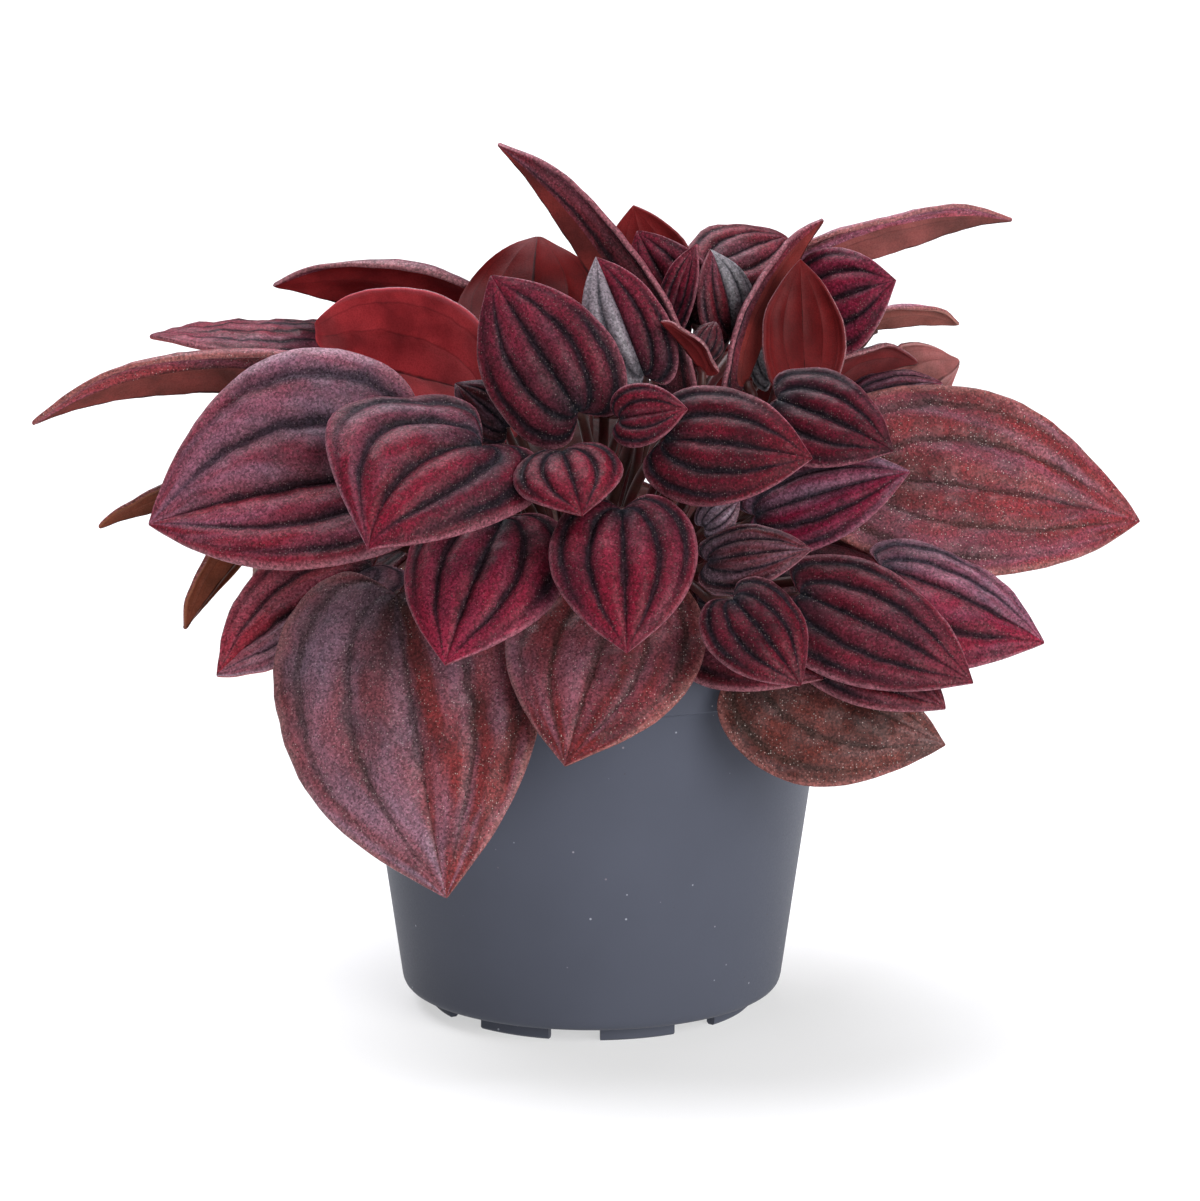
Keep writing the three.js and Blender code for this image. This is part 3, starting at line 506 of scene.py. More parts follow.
def tube(route, radii, sides):
    """Points and faces of a round tube along a route, with its ends closed."""
    route = np.asarray(route)
    ways = np.gradient(route, axis=0)
    ways /= np.linalg.norm(ways, axis=1)[:, None]
    across = unit(np.cross(ways[0], (1.0, 0.0, 0.0)))
    points = [route[0]]
    angles = 2 * np.pi * np.arange(sides) / sides
    for centre, way, radius in zip(route, ways, radii):
        across = unit(across - across.dot(way) * way)
        other = np.cross(way, across)
        points += [centre + radius * (math.cos(a) * across + math.sin(a) * other) for a in angles]
    points.append(route[-1])
    return points, ring_faces(len(route), sides)


def make_mesh(name, points, faces):
    """A smooth mesh from points in millimetres."""
    mesh = bpy.data.meshes.new(name)
    mesh.from_pydata((np.asarray(points, float) * MM).tolist(), [], faces)
    mesh.polygons.foreach_set("use_smooth", [True] * len(mesh.polygons))
    return mesh


def placed(name, data):
    thing = bpy.data.objects.new(name, data)
    bpy.context.scene.collection.objects.link(thing)
    return thing


def make_piece(name, mesh, materials, stands_for):
    """An object that rides on the plant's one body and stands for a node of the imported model."""
    piece = placed(name, mesh)
    for material in materials:
        mesh.materials.append(material)
    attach(piece, "root")
    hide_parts(stands_for)
    return piece


# Materials

TIMES = dict(operation="MULTIPLY")
OVER, DARKEN = "MIX", "MULTIPLY"  # how a colour lies over another


def add_node(tree, kind, inputs=(), stops=(), **settings):
    """Adds a node with its settings. Its inputs, in order or by key, are values or links, and a
    node given as an input stands for its first output. The stops are a colour ramp's."""
    node = tree.nodes.new("ShaderNode" + kind)
    for key, value in settings.items():
        setattr(node, key, value)
    for socket, value in (inputs if isinstance(inputs, dict) else dict(enumerate(inputs))).items():
        if isinstance(value, bpy.types.Node):
            value = next(output for output in value.outputs if output.enabled)
        if isinstance(value, bpy.types.NodeSocket):
            tree.links.new(value, node.inputs[socket])
        else:
            node.inputs[socket].default_value = value
    for i, (place, colour) in enumerate(stops):
        elements = node.color_ramp.elements
        element = elements[i] if i < 2 else elements.new(place)
        element.position = place
        element.color = colour if isinstance(colour, tuple) else (colour, colour, colour, 1)
    return node


def new_material(name):
    """An empty material, what adds nodes to it, and the place on the object."""
    material = bpy.data.materials.new(name)
    material.use_nodes = True
    material.node_tree.nodes.clear()
    add = functools.partial(add_node, material.node_tree)
    return material, add, add("TexCoord").outputs["Object"]


def coat(material, add, layers, sockets):
    """Ends a material: its colours lie over one another by their shares, in front of its shader."""
    colour, *rest = layers
    for how, share, over in rest:
        colour = add("Mix", {0: share, 6: colour, 7: over}, data_type="RGBA", blend_type=how)
    add("OutputMaterial", (add("BsdfPrincipled", {"Base Color": colour} | sockets),))
    return material


def blade_place(add, place):
    """How far along a blade from 0 to 1, and how far across it from the midrib (0) to the margin
    (1), wandering a little."""
    split = add("SeparateXYZ", (add("UVMap", uv_map="Blade"),))
    across = add("Math", (split, 0.5), operation="SUBTRACT")
    across = add("Math", (add("Math", (across,), operation="ABSOLUTE"), 2), **TIMES)
    wander = add("TexNoise", {"Vector": place, "Scale": 1 / (6 * MM), "Detail": 2})
    across = add("Math", (across, add("MapRange", (wander, 0.3, 0.7, -0.02, 0.02))))
    return split.outputs[1], across


def leaf_upper(vein_shade_colour, painted_sheen_colour, name, ridge_colour, ridge_deep, rim_colour, own_vein_shade,
               painted_sheen_amount, glint_amount, core, shade, depth, shine):
    """The upper skin of a ripple peperomia leaf: large clear surface cells over coloured flesh.
    To the eye it is satin with a painted lilac sheen, with painted glints as a fine pale grain,
    with painted shade nearly black down in the sunken veins and round the stalk, and paler along
    the margin."""
    material, add, place = new_material("Leaf_upper_" + name)
    along, across = blade_place(add, place)
    vein_shade_colour = linear(own_vein_shade) if own_vein_shade else vein_shade_colour
    # Painted shade: each vein has a dark core and a soft dark shade to both sides, wide by the
    # stalk, narrow and weak towards the tip, and the blade is painted dark round the stalk, where
    # it lies in the plant's shade.
    near = add("MapRange", (along, 0.08, 0.46, 1, 0), interpolation_type="SMOOTHSTEP")
    middle = add("MapRange", (across, 0.3, 0.85, 1, 0.35))
    vein_shade = add("Math", (near, middle), **TIMES)
    spread = add("MapRange", (along, 0.1, 0.85, 0.35, 1.6))
    steps = (-shade, 0), (-shade / 2, 0.3), (-core, 0.9), (core, 0.9), (shade / 2, 0.3), (shade, 0)
    for veins, (last_deep, run_out) in ((VEINS[:2], VEIN_ENDS[0]), (VEINS[2:], VEIN_ENDS[1])):
        stops = [(vein + way, dark) for vein in veins for way, dark in steps if vein + way >= 0]
        dark = add("Math", (add("ValToRGB", (across,), stops), spread), operation="POWER")
        weak = add("MapRange", (along, last_deep + 0.15, run_out + 0.05, 1, 0.3))
        dark = add("Math", (dark, weak), **TIMES)
        vein_shade = add("Math", (vein_shade, dark), operation="MAXIMUM")
    vein_shade = add("Math", (vein_shade, depth), **TIMES)
    # Flesh colour shifts over patches of a centimetre or so, and is clearest towards the tip.
    patches = add("TexNoise", {"Vector": place, "Scale": 1 / (11 * MM), "Detail": 3})
    clear = add("Math", (patches, add("MapRange", (along, 0.1, 0.9, -0.1, 0.12))))
    flesh = add("ValToRGB", (clear,), [(0.34, linear(ridge_deep)), (0.64, linear(ridge_colour))])
    # Painted sheen lies in streaks that run with the ridges, some 8 mm wide and 25 mm long.
    streaks = add("CombineXYZ", [
        add("Math", (across, 4), **TIMES), add("Math", (along, 1.8), **TIMES)])
    streaks = add("VectorMath", (place, (1 / (30 * MM),) * 3, streaks), operation="MULTIPLY_ADD")
    cloud = add("TexNoise", {"Vector": streaks, "Scale": 1, "Detail": 5})
    painted_sheen = add("MapRange", (cloud, 0.42, 0.7, 0, painted_sheen_amount))
    # Each leaf's tint: its own tone, with painted light and shade; its alpha holds the silver.
    tint = add("Attribute", attribute_name="tint")
    rim = add("MapRange", (across, 0.9, 0.98, 0, 0.8))
    # Surface cells are about 0.1 mm: drawn 0.45 mm across so that they show, each a little lighter
    # or darker than the next.
    grain = add("TexNoise", {
        "Vector": place, "Scale": 1 / (0.6 * MM), "Detail": 2, "Roughness": 0.75})
    cells = add("TexVoronoi", {"Vector": place, "Scale": 1 / (0.45 * MM)})
    pick = add("SeparateColor", (cells.outputs["Color"],))
    uneven = add("MapRange", (pick.outputs[1], 0, 1, 0.5, 1.45))
    pits = add("Math", (uneven, add("MapRange", (grain, 0.3, 0.7, 0.65, 1.35))), **TIMES)
    # Painted glints: one cell in ten catches the light, drawn as a pale grain of 0.2 mm, mostly
    # along the veins.
    glints = add("MapRange", (cells, 0.12, 0.38, 1, 0))
    lucky = add("Math", (vein_shade, 0.12, pick.outputs[0]), operation="MULTIPLY_ADD")
    glinted = add("MapRange", (lucky, 0.8, 1.02, 0, glint_amount))
    glints = add("Math", (glints, glinted), **TIMES)
    # Where the skin has lifted off the flesh under it the leaf is silver, in patches where that has
    # only begun; small amounts, given on the half that faces up to the light, are a painted lilac
    # sheen instead. The tint's alpha is 1 without either.
    plain_skin = tint.outputs["Alpha"]
    lifted_and_sheen = add("MapRange", (add("Math", (cloud, plain_skin), operation="SUBTRACT"), -0.35, 0.1, 0, 1))
    most = add("MapRange", (plain_skin, 0.95, 0.2, 0.1, 0.85))
    lifted_and_sheen = add("Math", (lifted_and_sheen, most), **TIMES)
    # Small amounts take a lilac colour: a painted sheen.
    lilac_sheen = add("MapRange", (plain_skin, 0.25, 0.6, 0, 1))
    # The painted shade of the veins lies over the silver as well.
    sunk = add("Math", (vein_shade, 0.8), **TIMES)
    silver = linear(0x6c6b70)
    for how, share, over in (
            (OVER, lilac_sheen, linear(0x78687a)), (OVER, sunk, vein_shade_colour), (DARKEN, 1, pits)):
        silver = add("Mix", {0: share, 6: silver, 7: over}, data_type="RGBA", blend_type=how)
    # Side veins branch off towards the margin every 3 mm or so and quilt the skin faintly.
    quilt = add("TexVoronoi", {"Vector": place, "Scale": 1 / (3.2 * MM)}, feature="SMOOTH_F1")
    soft = add("Bump", {"Strength": 0.6, "Distance": 0.7 * MM, "Height": quilt}, invert=True)
    bump = add("Bump", {"Strength": 0.6, "Distance": 0.15 * MM, "Height": grain, "Normal": soft})
    sheen = add("MapRange", (lifted_and_sheen, 0, 0.8, shine, 0.45))
    return coat(material, add, [
        flesh, (OVER, painted_sheen, painted_sheen_colour), (DARKEN, 1, tint), (OVER, vein_shade, vein_shade_colour),
        (OVER, rim, linear(rim_colour)), (DARKEN, 1, pits), (OVER, glints, linear(0xb8a6a0)),
        (OVER, lifted_and_sheen, silver),
    ], {
        "Roughness": add("MapRange", (pick.outputs[1], 0, 1, 0.56, 0.34)), "IOR": 1.45,
        # Reflection fades down in the veins with their painted shade.
        "Specular IOR Level": add("MapRange", (vein_shade, 0, 0.8, sheen, 0.04)), "Normal": bump,
        "Subsurface Weight": 0.03, "Subsurface Scale": 1,
        "Subsurface Radius": (2 * MM, 0.4 * MM, 0.4 * MM),
    })


def leaf_under(name, flesh_colour, flesh_deep, vein_colour, rim_colour):
    """The bare red underside of a leaf: smooth, thin-skinned flesh that light from behind comes
    through. To the eye it is a clear satin red, with thin darker veins and a paler margin."""
    material, add, place = new_material("Leaf_underside_" + name)
    _, across = blade_place(add, place)
    stops = []
    for vein in VEINS:
        stops += [(vein - 0.018, 0), (vein, 0.4 if vein else 0.9), (vein + 0.018, 0)]
    stops = [stop for stop in stops if stop[0] >= 0]
    patches = add("TexNoise", {"Vector": place, "Scale": 1 / (9 * MM), "Detail": 3})
    flesh = add("ValToRGB", (patches,), [(0.35, linear(flesh_deep)), (0.65, linear(flesh_colour))])
    veins = add("ValToRGB", (across,), stops)
    rim = add("MapRange", (across, 0.93, 1, 0, 0.6))
    # The cells of this skin are too fine to show: drawn 0.4 mm across.
    grain = add("TexNoise", {"Vector": place, "Scale": 1 / (0.4 * MM), "Detail": 2})
    pits = add("MapRange", (grain, 0.3, 0.6, 0.84, 1.1))
    # Each leaf's tint: its own tone, with painted light and shade for where it hangs.
    tint = add("Attribute", attribute_name="tint")
    return coat(material, add, [
        flesh, (OVER, veins, linear(vein_colour)), (OVER, rim, linear(rim_colour)),
        (DARKEN, 1, pits), (DARKEN, 1, tint),
    ], {
        "Roughness": add("MapRange", (grain, 0.3, 0.7, 0.58, 0.46)), "IOR": 1.4,
        "Specular IOR Level": 0.12, "Subsurface Weight": 0.12, "Subsurface Scale": 1,
        "Subsurface Radius": (3 * MM, 0.5 * MM, 0.4 * MM),
        "Normal": add("Bump", {"Strength": 0.4, "Distance": 0.12 * MM, "Height": grain}),
    })


def leaf_stalk(name, colour_low, colour_high):
    """A fleshy leaf stalk: smooth wet-looking skin, deep wine over brown, darkened as painted shade
    for the plant's shaded core. To the eye it is a round translucent stem with a soft shine and
    fine flecks."""
    material, add, place = new_material(name)
    patches = add("TexNoise", {"Vector": place, "Scale": 1 / (8 * MM), "Detail": 3})
    flesh = add("ValToRGB", (patches,), [(0.38, colour_low), (0.62, colour_high)])
    flecks = add("TexNoise", {"Vector": place, "Scale": 1 / (0.6 * MM), "Detail": 2})
    shade = add("MapRange", (flecks, 0.3, 0.6, 0.8, 1.05))
    return coat(material, add, [flesh, (DARKEN, 1, shade)], {
        "Roughness": add("MapRange", (flecks, 0.3, 0.7, 0.42, 0.34)), "IOR": 1.4,
        "Specular IOR Level": 0.25, "Subsurface Weight": 0.15, "Subsurface Scale": 1,
        "Subsurface Radius": (2 * MM, 1 * MM, 0.6 * MM),
        "Normal": add("Bump", {"Strength": 0.3, "Distance": 0.1 * MM, "Height": flecks}),
    })


def pot_plastic(name, colour):
    """Polypropylene, injection-moulded in a lightly blasted mould. To the eye it is an even satin
    slate grey with a fine stipple, and a few specks of dust on it."""
    material, add, place = new_material(name)
    cloud = add("TexNoise", {"Vector": place, "Scale": 1 / (30 * MM), "Detail": 3})
    shade = add("MapRange", (cloud, 0.3, 0.7, 0.94, 1.05))
    # Dust specks of 0.3 to 0.5 mm, 3 to 4 mm apart, each cell with its own tint.
    cells = add("TexVoronoi", {"Vector": place, "Scale": 1 / (4.2 * MM)})
    pick = add("SeparateColor", (cells.outputs["Color"],))
    few = add("Math", (pick, 0.62), operation="GREATER_THAN")
    speck = add("Math", (add("MapRange", (cells, 0.045, 0.075, 0.5, 0)), few), **TIMES)
    tints = add("ValToRGB", (pick.outputs[1],),
                [(0.3, linear(0xb9bcc6)), (0.75, linear(0xa59aa2)), (0.9, linear(0x3a3032))])
    # Mould stipple of about 0.15 mm: drawn 0.5 mm apart so that it shows.
    stipple = add("TexNoise", {"Vector": place, "Scale": 1 / (0.5 * MM), "Detail": 2})
    return coat(material, add, [colour, (DARKEN, 1, shade), (OVER, speck, tints)], {
        "Roughness": add("MapRange", (stipple, 0.3, 0.7, 0.46, 0.56)), "IOR": 1.49,
        "Specular IOR Level": 0.15,
        "Normal": add("Bump", {"Strength": 0.25, "Distance": 0.05 * MM, "Height": stipple}),
    })


def potting_soil(name, dark, light):
    """Peat potting soil, damp and crumbled. To the eye it is dull, nearly black brown, with paler
    fibres and grains."""
    material, add, place = new_material(name)
    lumps = add("TexNoise", {"Vector": place, "Scale": 1 / (3 * MM), "Detail": 6, "Roughness": 0.7})
    colour = add("ValToRGB", (lumps,), [(0.35, dark), (0.6, light), (0.78, linear(0x6b5644))])
    return coat(material, add, [colour], {
        "Roughness": add("MapRange", (lumps, 0.3, 0.7, 0.95, 0.8)), "IOR": 1.45,
        "Normal": add("Bump", {"Strength": 0.8, "Distance": 0.5 * MM, "Height": lumps}),
    })


def light_table(name, colour, glow):
    """Opal acrylic sheet, sand-blasted on top and lit from beneath: an even pale ground with no
    shine, on which shadows stay soft and faint."""
    material, add, place = new_material(name)
    tooth = add("TexNoise", {"Vector": place, "Scale": 1 / (2 * MM), "Detail": 2})
    return coat(material, add, [colour], {
        "Roughness": add("MapRange", (tooth, 0.3, 0.7, 0.9, 1)), "Specular IOR Level": 0.1,
        "Emission Color": (1, 1, 1, 1), "Emission Strength": glow,
    })


# Settings


def colour_setting(name, description, hex_colour):
    return bpy.props.FloatVectorProperty(
        name=name, description=description, subtype="COLOR", size=4, min=0, max=1,
        default=linear(hex_colour),
    )


def size_setting(name, description, millimetres):
    return bpy.props.FloatProperty(
        name=name, description=description, default=millimetres * MM, min=0, unit="LENGTH",
        precision=4,
    )


def strength_setting(name, description, strength):
    return bpy.props.FloatProperty(name=name, description=description, default=strength, min=0)


class PotSettings(bpy.types.PropertyGroup):
    rim_radius: size_setting("Rim radius", "Outer radius of the pot's rim", RIM_RADIUS)
    rim_band: size_setting("Rim band", "Height of the band round the rim", RIM_BAND)
    colour: colour_setting("Plastic", "Colour of the pot's plastic", 0x444752)


class SoilSettings(bpy.types.PropertyGroup):
    crumb: size_setting("Crumb", "Height of the soil's lumps", 1.3)
    dark: colour_setting("Damp", "Colour of the damp soil", 0x1d1511)
    light: colour_setting("Dry", "Colour of the drier crumbs", 0x3b2b20)


class LeafSettings(bpy.types.PropertyGroup):
    blade: size_setting("Blade", "Thickness of a leaf blade", 1.2)
    detail: bpy.props.IntProperty(
        name="Rows", description="Rows of faces along a long blade", default=56, min=12, max=120,
    )
    # Colour of the painted lilac sheen on the upper skin.
    painted_sheen: colour_setting("Bloom", "Lilac bloom on the upper skin", 0x8c6e82)
    # Colour of the painted shade down in the sunken veins of young leaves.
    vein_shade: colour_setting("Veins", "Colour down in the sunken veins of young leaves", 0x15151a)
    # The stalks are kept this dark as painted shade, for the plant's shaded core.
    stalk_low: colour_setting("Stalk", "Pale side of the stalks", 0x3c2420)
    stalk_high: colour_setting("Stalk blush", "Pink side of the stalks", 0x40161a)


class StageSettings(bpy.types.PropertyGroup):
    floor: colour_setting("Floor", "Colour of the studio floor", 0xacacac)
    glow: strength_setting("Glow", "Strength of the light that comes up through the floor", 0.55)
    top_light: strength_setting("Top light", "Strength of the soft light from above", 6.1)
    front_light: strength_setting("Front light", "Strength of the soft light from the front", 4.3)
    sky: strength_setting("Surround", "Strength of the light from all round", 0.1)


# Operators


def foot_segment(index):
    """Points and faces of one raised arc of the ring that the pot stands on."""
    middle = FOOT_TURN + 360 / FOOT_COUNT * index
    angles = np.radians(np.linspace(middle - FOOT_ARC / 2, middle + FOOT_ARC / 2, FOOT_STEPS + 1))
    top = FOOT_HEIGHT + FLOOR_THICKNESS / 2
    corner = 0.5  # rounding of the lower edges
    section = [
        (FOOT_RADIUS - FOOT_WIDTH, top), (FOOT_RADIUS - FOOT_WIDTH, corner),
        (FOOT_RADIUS - FOOT_WIDTH + corner, 0), (FOOT_RADIUS - corner, 0),
        (FOOT_RADIUS, corner), (FOOT_RADIUS, top),
    ]
    points = [(r * math.cos(a), r * math.sin(a), z) for a in angles for r, z in section]
    count = len(section)
    faces = []
    for s in range(FOOT_STEPS):
        for c in range(count):
            d = (c + 1) % count
            faces.append((s * count + c, s * count + d, (s + 1) * count + d, (s + 1) * count + c))
    faces.append(tuple(range(count - 1, -1, -1)))
    faces.append(tuple(FOOT_STEPS * count + c for c in range(count)))
    return points, faces


def temporary(name, points, faces):
    """A closed solid for cutting or joining, with its faces turned outwards."""
    mesh = make_mesh(name, points, faces)
    body = bmesh.new()
    body.from_mesh(mesh)
    bmesh.ops.recalc_face_normals(body, faces=body.faces)
    body.to_mesh(mesh)
    body.free()
    return placed(name, mesh)


class PEPEROMIA_OT_pot(bpy.types.Operator):
    """Turn the pot, stand it on its foot segments and cut its drain holes"""

    bl_idname = "peperomia.pot"
    bl_label = "Pot"

    def execute(self, context):
        settings = context.scene.peperomia_pot
        rim, band = settings.rim_radius / MM, settings.rim_band / MM
        low = POT_HEIGHT - band
        inside = FOOT_HEIGHT + FLOOR_THICKNESS
        profile = rounded([
            (0, FOOT_HEIGHT - GATE_HEIGHT, 0),
            (GATE_RADIUS, FOOT_HEIGHT - GATE_HEIGHT, 0.2),
            (GATE_RADIUS + 0.3, FOOT_HEIGHT, 0),
            (FLOOR_RADIUS, FOOT_HEIGHT, BOTTOM_FILLET),
            (WALL_TOP_RADIUS, low - RIM_STEP, 0.3),
            (rim - RIM_DRAFT, low, 0.35),
            (rim, POT_HEIGHT, 0.5),
            (rim - RIM_LIP, POT_HEIGHT, 0.4),
            (rim - RIM_LIP - RIM_DRAFT, low + WALL, 0.5),
            (WALL_TOP_RADIUS - WALL, low - RIM_STEP, 0.5),
            (wall_radius(inside) - WALL, inside, INNER_FILLET),
            (0, inside, 0),
        ])
        body = temporary("pot_body", *lathe(profile, POT_SIDES))
        tools = []
        for index in range(FOOT_COUNT):
            foot = temporary("foot", *foot_segment(index))
            tools.append((foot, "UNION"))
        for index in range(DRAIN_COUNT):
            angle = 2 * math.pi * index / DRAIN_COUNT
            centre = np.array([DRAIN_CIRCLE * math.cos(angle), DRAIN_CIRCLE * math.sin(angle), 0])
            high = inside + 1
            points, faces = lathe(
                [(0, -1), (DRAIN_RADIUS, -1), (DRAIN_RADIUS, high), (0, high)], DRAIN_SIDES)
            tools.append((temporary("drain", np.asarray(points) + centre, faces), "DIFFERENCE"))
        for tool, operation in tools:
            cut = body.modifiers.new("cut", "BOOLEAN")
            cut.operation, cut.object, cut.solver = operation, tool, "EXACT"
        graph = context.evaluated_depsgraph_get()
        mesh = bpy.data.meshes.new_from_object(body.evaluated_get(graph))
        mesh.name = "pot_moulding"
        for thing in [body, *(tool for tool, _ in tools)]:
            old = thing.data
            bpy.data.objects.remove(thing)
            bpy.data.meshes.remove(old)
        mesh.materials.clear()
        mesh.shade_smooth()
        mesh.set_sharp_from_angle(angle=math.radians(40))
        plastic = pot_plastic("Polypropylene_injection_moulded", tuple(settings.colour))
        make_piece("pot_moulding", mesh, [plastic], "pot")
        return {"FINISHED"}


class PEPEROMIA_OT_soil(bpy.types.Operator):
    """Fill the pot with crumbly soil"""

    bl_idname = "peperomia.soil"
    bl_label = "Soil"

    def execute(self, context):
        settings = context.scene.peperomia_soil
        crumb = settings.crumb / MM
        floor = FOOT_HEIGHT + FLOOR_THICKNESS + GAP
        inner = lambda z: wall_radius(z) - WALL - 2 * GAP
        top = POT_HEIGHT - RIM_BAND - INNER_FILLET
        profile = [(0, floor), (inner(floor) - SOIL_CHAMFER, floor),
                   (inner(floor + SOIL_CHAMFER), floor + SOIL_CHAMFER), (inner(top), top)]
        heap = lambda reach: np.interp(
            reach, [0, SOIL_CROWN_RADIUS, SOIL_SHOULDER_RADIUS, inner(top)],
            [SOIL_CROWN, SOIL_CROWN, SOIL_SHOULDER, SOIL_EDGE])
        radii = np.linspace(inner(top), 0, SOIL_RINGS)
        profile += list(zip(radii, heap(radii)))
        points, faces = lathe(profile, SOIL_SIDES)
        points = np.array(points, float)
        for i in np.flatnonzero(points[:, 2] > SOIL_EDGE - 0.01):
            lump = noise.fractal(Vector(points[i] / LUMP_SIZE), 0.9, 2.1, 4)
            points[i, 2] += crumb * np.clip(lump, -1, 0.6)
        points, faces = points.tolist(), list(faces)
        draw = np.random.default_rng(CRUMB_SEED)
        for _ in range(CRUMB_COUNT):
            reach = (inner(top) - CRUMB_MARGIN) * math.sqrt(draw.random())
            angle, size = draw.uniform(0, 2 * math.pi), draw.uniform(*CRUMB_RADII)
            middle = np.array(
                [reach * math.cos(angle), reach * math.sin(angle), heap(reach) + 0.1])
            ball = bmesh.new()
            bmesh.ops.create_icosphere(ball, subdivisions=2, radius=size)
            first = len(points)
            for vert in ball.verts:
                bump = 1 + 0.35 * noise.noise(vert.co * 1.3 / size + Vector(middle))
                points.append((middle + np.array(vert.co) * bump * CRUMB_SQUASH).tolist())
            ball.verts.index_update()
            faces += [tuple(first + v.index for v in face.verts) for face in ball.faces]
            ball.free()
        soil = potting_soil("Potting_soil_damp_peat", tuple(settings.dark), tuple(settings.light))
        make_piece("soil_crumbs", make_mesh("soil_crumbs", points, faces), [soil], "soil")
        return {"FINISHED"}


def blade_rows(length, rows):
    """Shares along the blade, closer together at its ends, with more rows on a longer blade."""
    count = int(rows * np.clip(length / FULL_LENGTH, *ROW_LIMITS))
    t = np.arange(1, count) / count
    return ROW_EVENNESS * t + (1 - ROW_EVENNESS) * (1 - np.cos(np.pi * t)) / 2


def blade_columns(leaf):
    """Shares across half the blade: veins have a column, and the rounded edge is split finely."""
    edge = 1 - min(EDGE_ROUND / leaf.half_width, EDGE_SHARE)
    first, second, outer, bend = COLUMNS
    parts = [VEINS[1] * ease(np.linspace(0, 1, first), 0, 1),
             VEINS[1] + (VEINS[2] - VEINS[1]) * ease(np.linspace(0, 1, second), 0, 1),
             np.linspace(VEINS[2], edge, outer),
             edge + (1 - edge) * np.sin(np.linspace(0, np.pi / 2, bend))]
    return np.concatenate([part[1:] for part in parts]), edge


def blade_mesh(leaf, blade, rows):
    """Points, faces, places on the blade (share across, share along) and which faces have the
    underside's skin."""
    us = blade_rows(leaf.length, rows)
    half, edge = blade_columns(leaf)
    vs = np.concatenate([-half[::-1], [0], half])
    past = np.clip((np.abs(vs) - edge) / (1 - edge), 0, 1)
    round_edge = np.sqrt(1 - past**2)
    before_tip = np.clip(1 - (1 - us) * leaf.length / TIP_ROUND, 0, 1)
    round_tip = np.sqrt(1 - before_tip**2)
    thick = blade / 2 * round_edge[None, :] * round_tip[:, None]
    top = leaf.point(us[:, None], vs[None, :], thick, 1.0)
    low = leaf.point(us[:, None], vs[None, :], -thick, 1.0)
    count, width = len(us), len(vs)
    points = [leaf.point(0, 0)[None], top.reshape(-1, 3), low[:, 1:-1].reshape(-1, 3),
              leaf.point(1, 0)[None]]
    end = 1 + count * width + count * (width - 2)
    place = np.stack(np.broadcast_arrays((vs[None, :] + 1) / 2, us[:, None]), -1)
    places = [[(0.5, 0.0)], place.reshape(-1, 2), place[:, 1:-1].reshape(-1, 2), [(0.5, 1.0)]]
    upper = lambda i, j: 1 + i * width + j
    under = lambda i, j: (
        upper(i, j) if j in (0, width - 1) else 1 + count * width + i * (width - 2) + j - 1)
    faces, down = [], []
    for at, turned in ((upper, False), (under, True)):
        for j in range(width - 1):
            strip = [(0, at(0, j + 1), at(0, j))]
            strip += [(at(i, j), at(i, j + 1), at(i + 1, j + 1), at(i + 1, j))
                      for i in range(count - 1)]
            strip.append((at(count - 1, j), at(count - 1, j + 1), end))
            faces += [face[::-1] for face in strip] if turned else strip
            middle = (vs[j] + vs[j + 1]) / 2
            rolled_out = abs(middle) > leaf.band[int(middle > 0)]
            down += [int(turned and not rolled_out)] * len(strip)
    return np.vstack(points), faces, np.vstack(places), down


# The upper skin: name, colours of the ridges, of their deeper patches, of the margin and of the
# painted shade down in the veins, where it isn't the set one, then the amounts of painted sheen
# and of the pale grain of painted glints, the reach of a vein's dark core and painted shade, how
# dark that painted shade is, and the gloss. The underside: name, colours of the flesh, of its
# deeper patches, of the veins and of the margin.
SKINS = {
    MAGENTA: (
        ("young_magenta", 0x581322, 0x3a0d19, 0x7c4c56, None, 0.05, 0.24, 0.026, 0.17, 1, 0.13),
        ("young_red", 0x6c181b, 0x481012, 0x2c0b0d, 0x643438)),
    WINE: (
        ("grown_wine", 0x561a23, 0x391117, 0x7c4c54, None, 0.12, 0.3, 0.022, 0.14, 0.97, 0.13),
        ("grown_wine", 0x60201e, 0x421514, 0x2a0d0d, 0x704442)),
    ROSE: (
        ("old_rose", 0x662828, 0x482021, 0x7c4a46, 0x2c2724, 0.25, 1, 0.018, 0.08, 0.7, 0.24),
        ("old_brown", 0x60332a, 0x42241c, 0x28130f, 0x764f42)),
    RED: (
        ("rolled_purple", 0x60242f, 0x401822, 0x84565a, 0x201214, 0.2, 0.8, 0.015, 0.12, 0.7, 0.24),
        ("bright_red", 0x762022, 0x5a1517, 0x2a080a, 0x6a3034)),
}


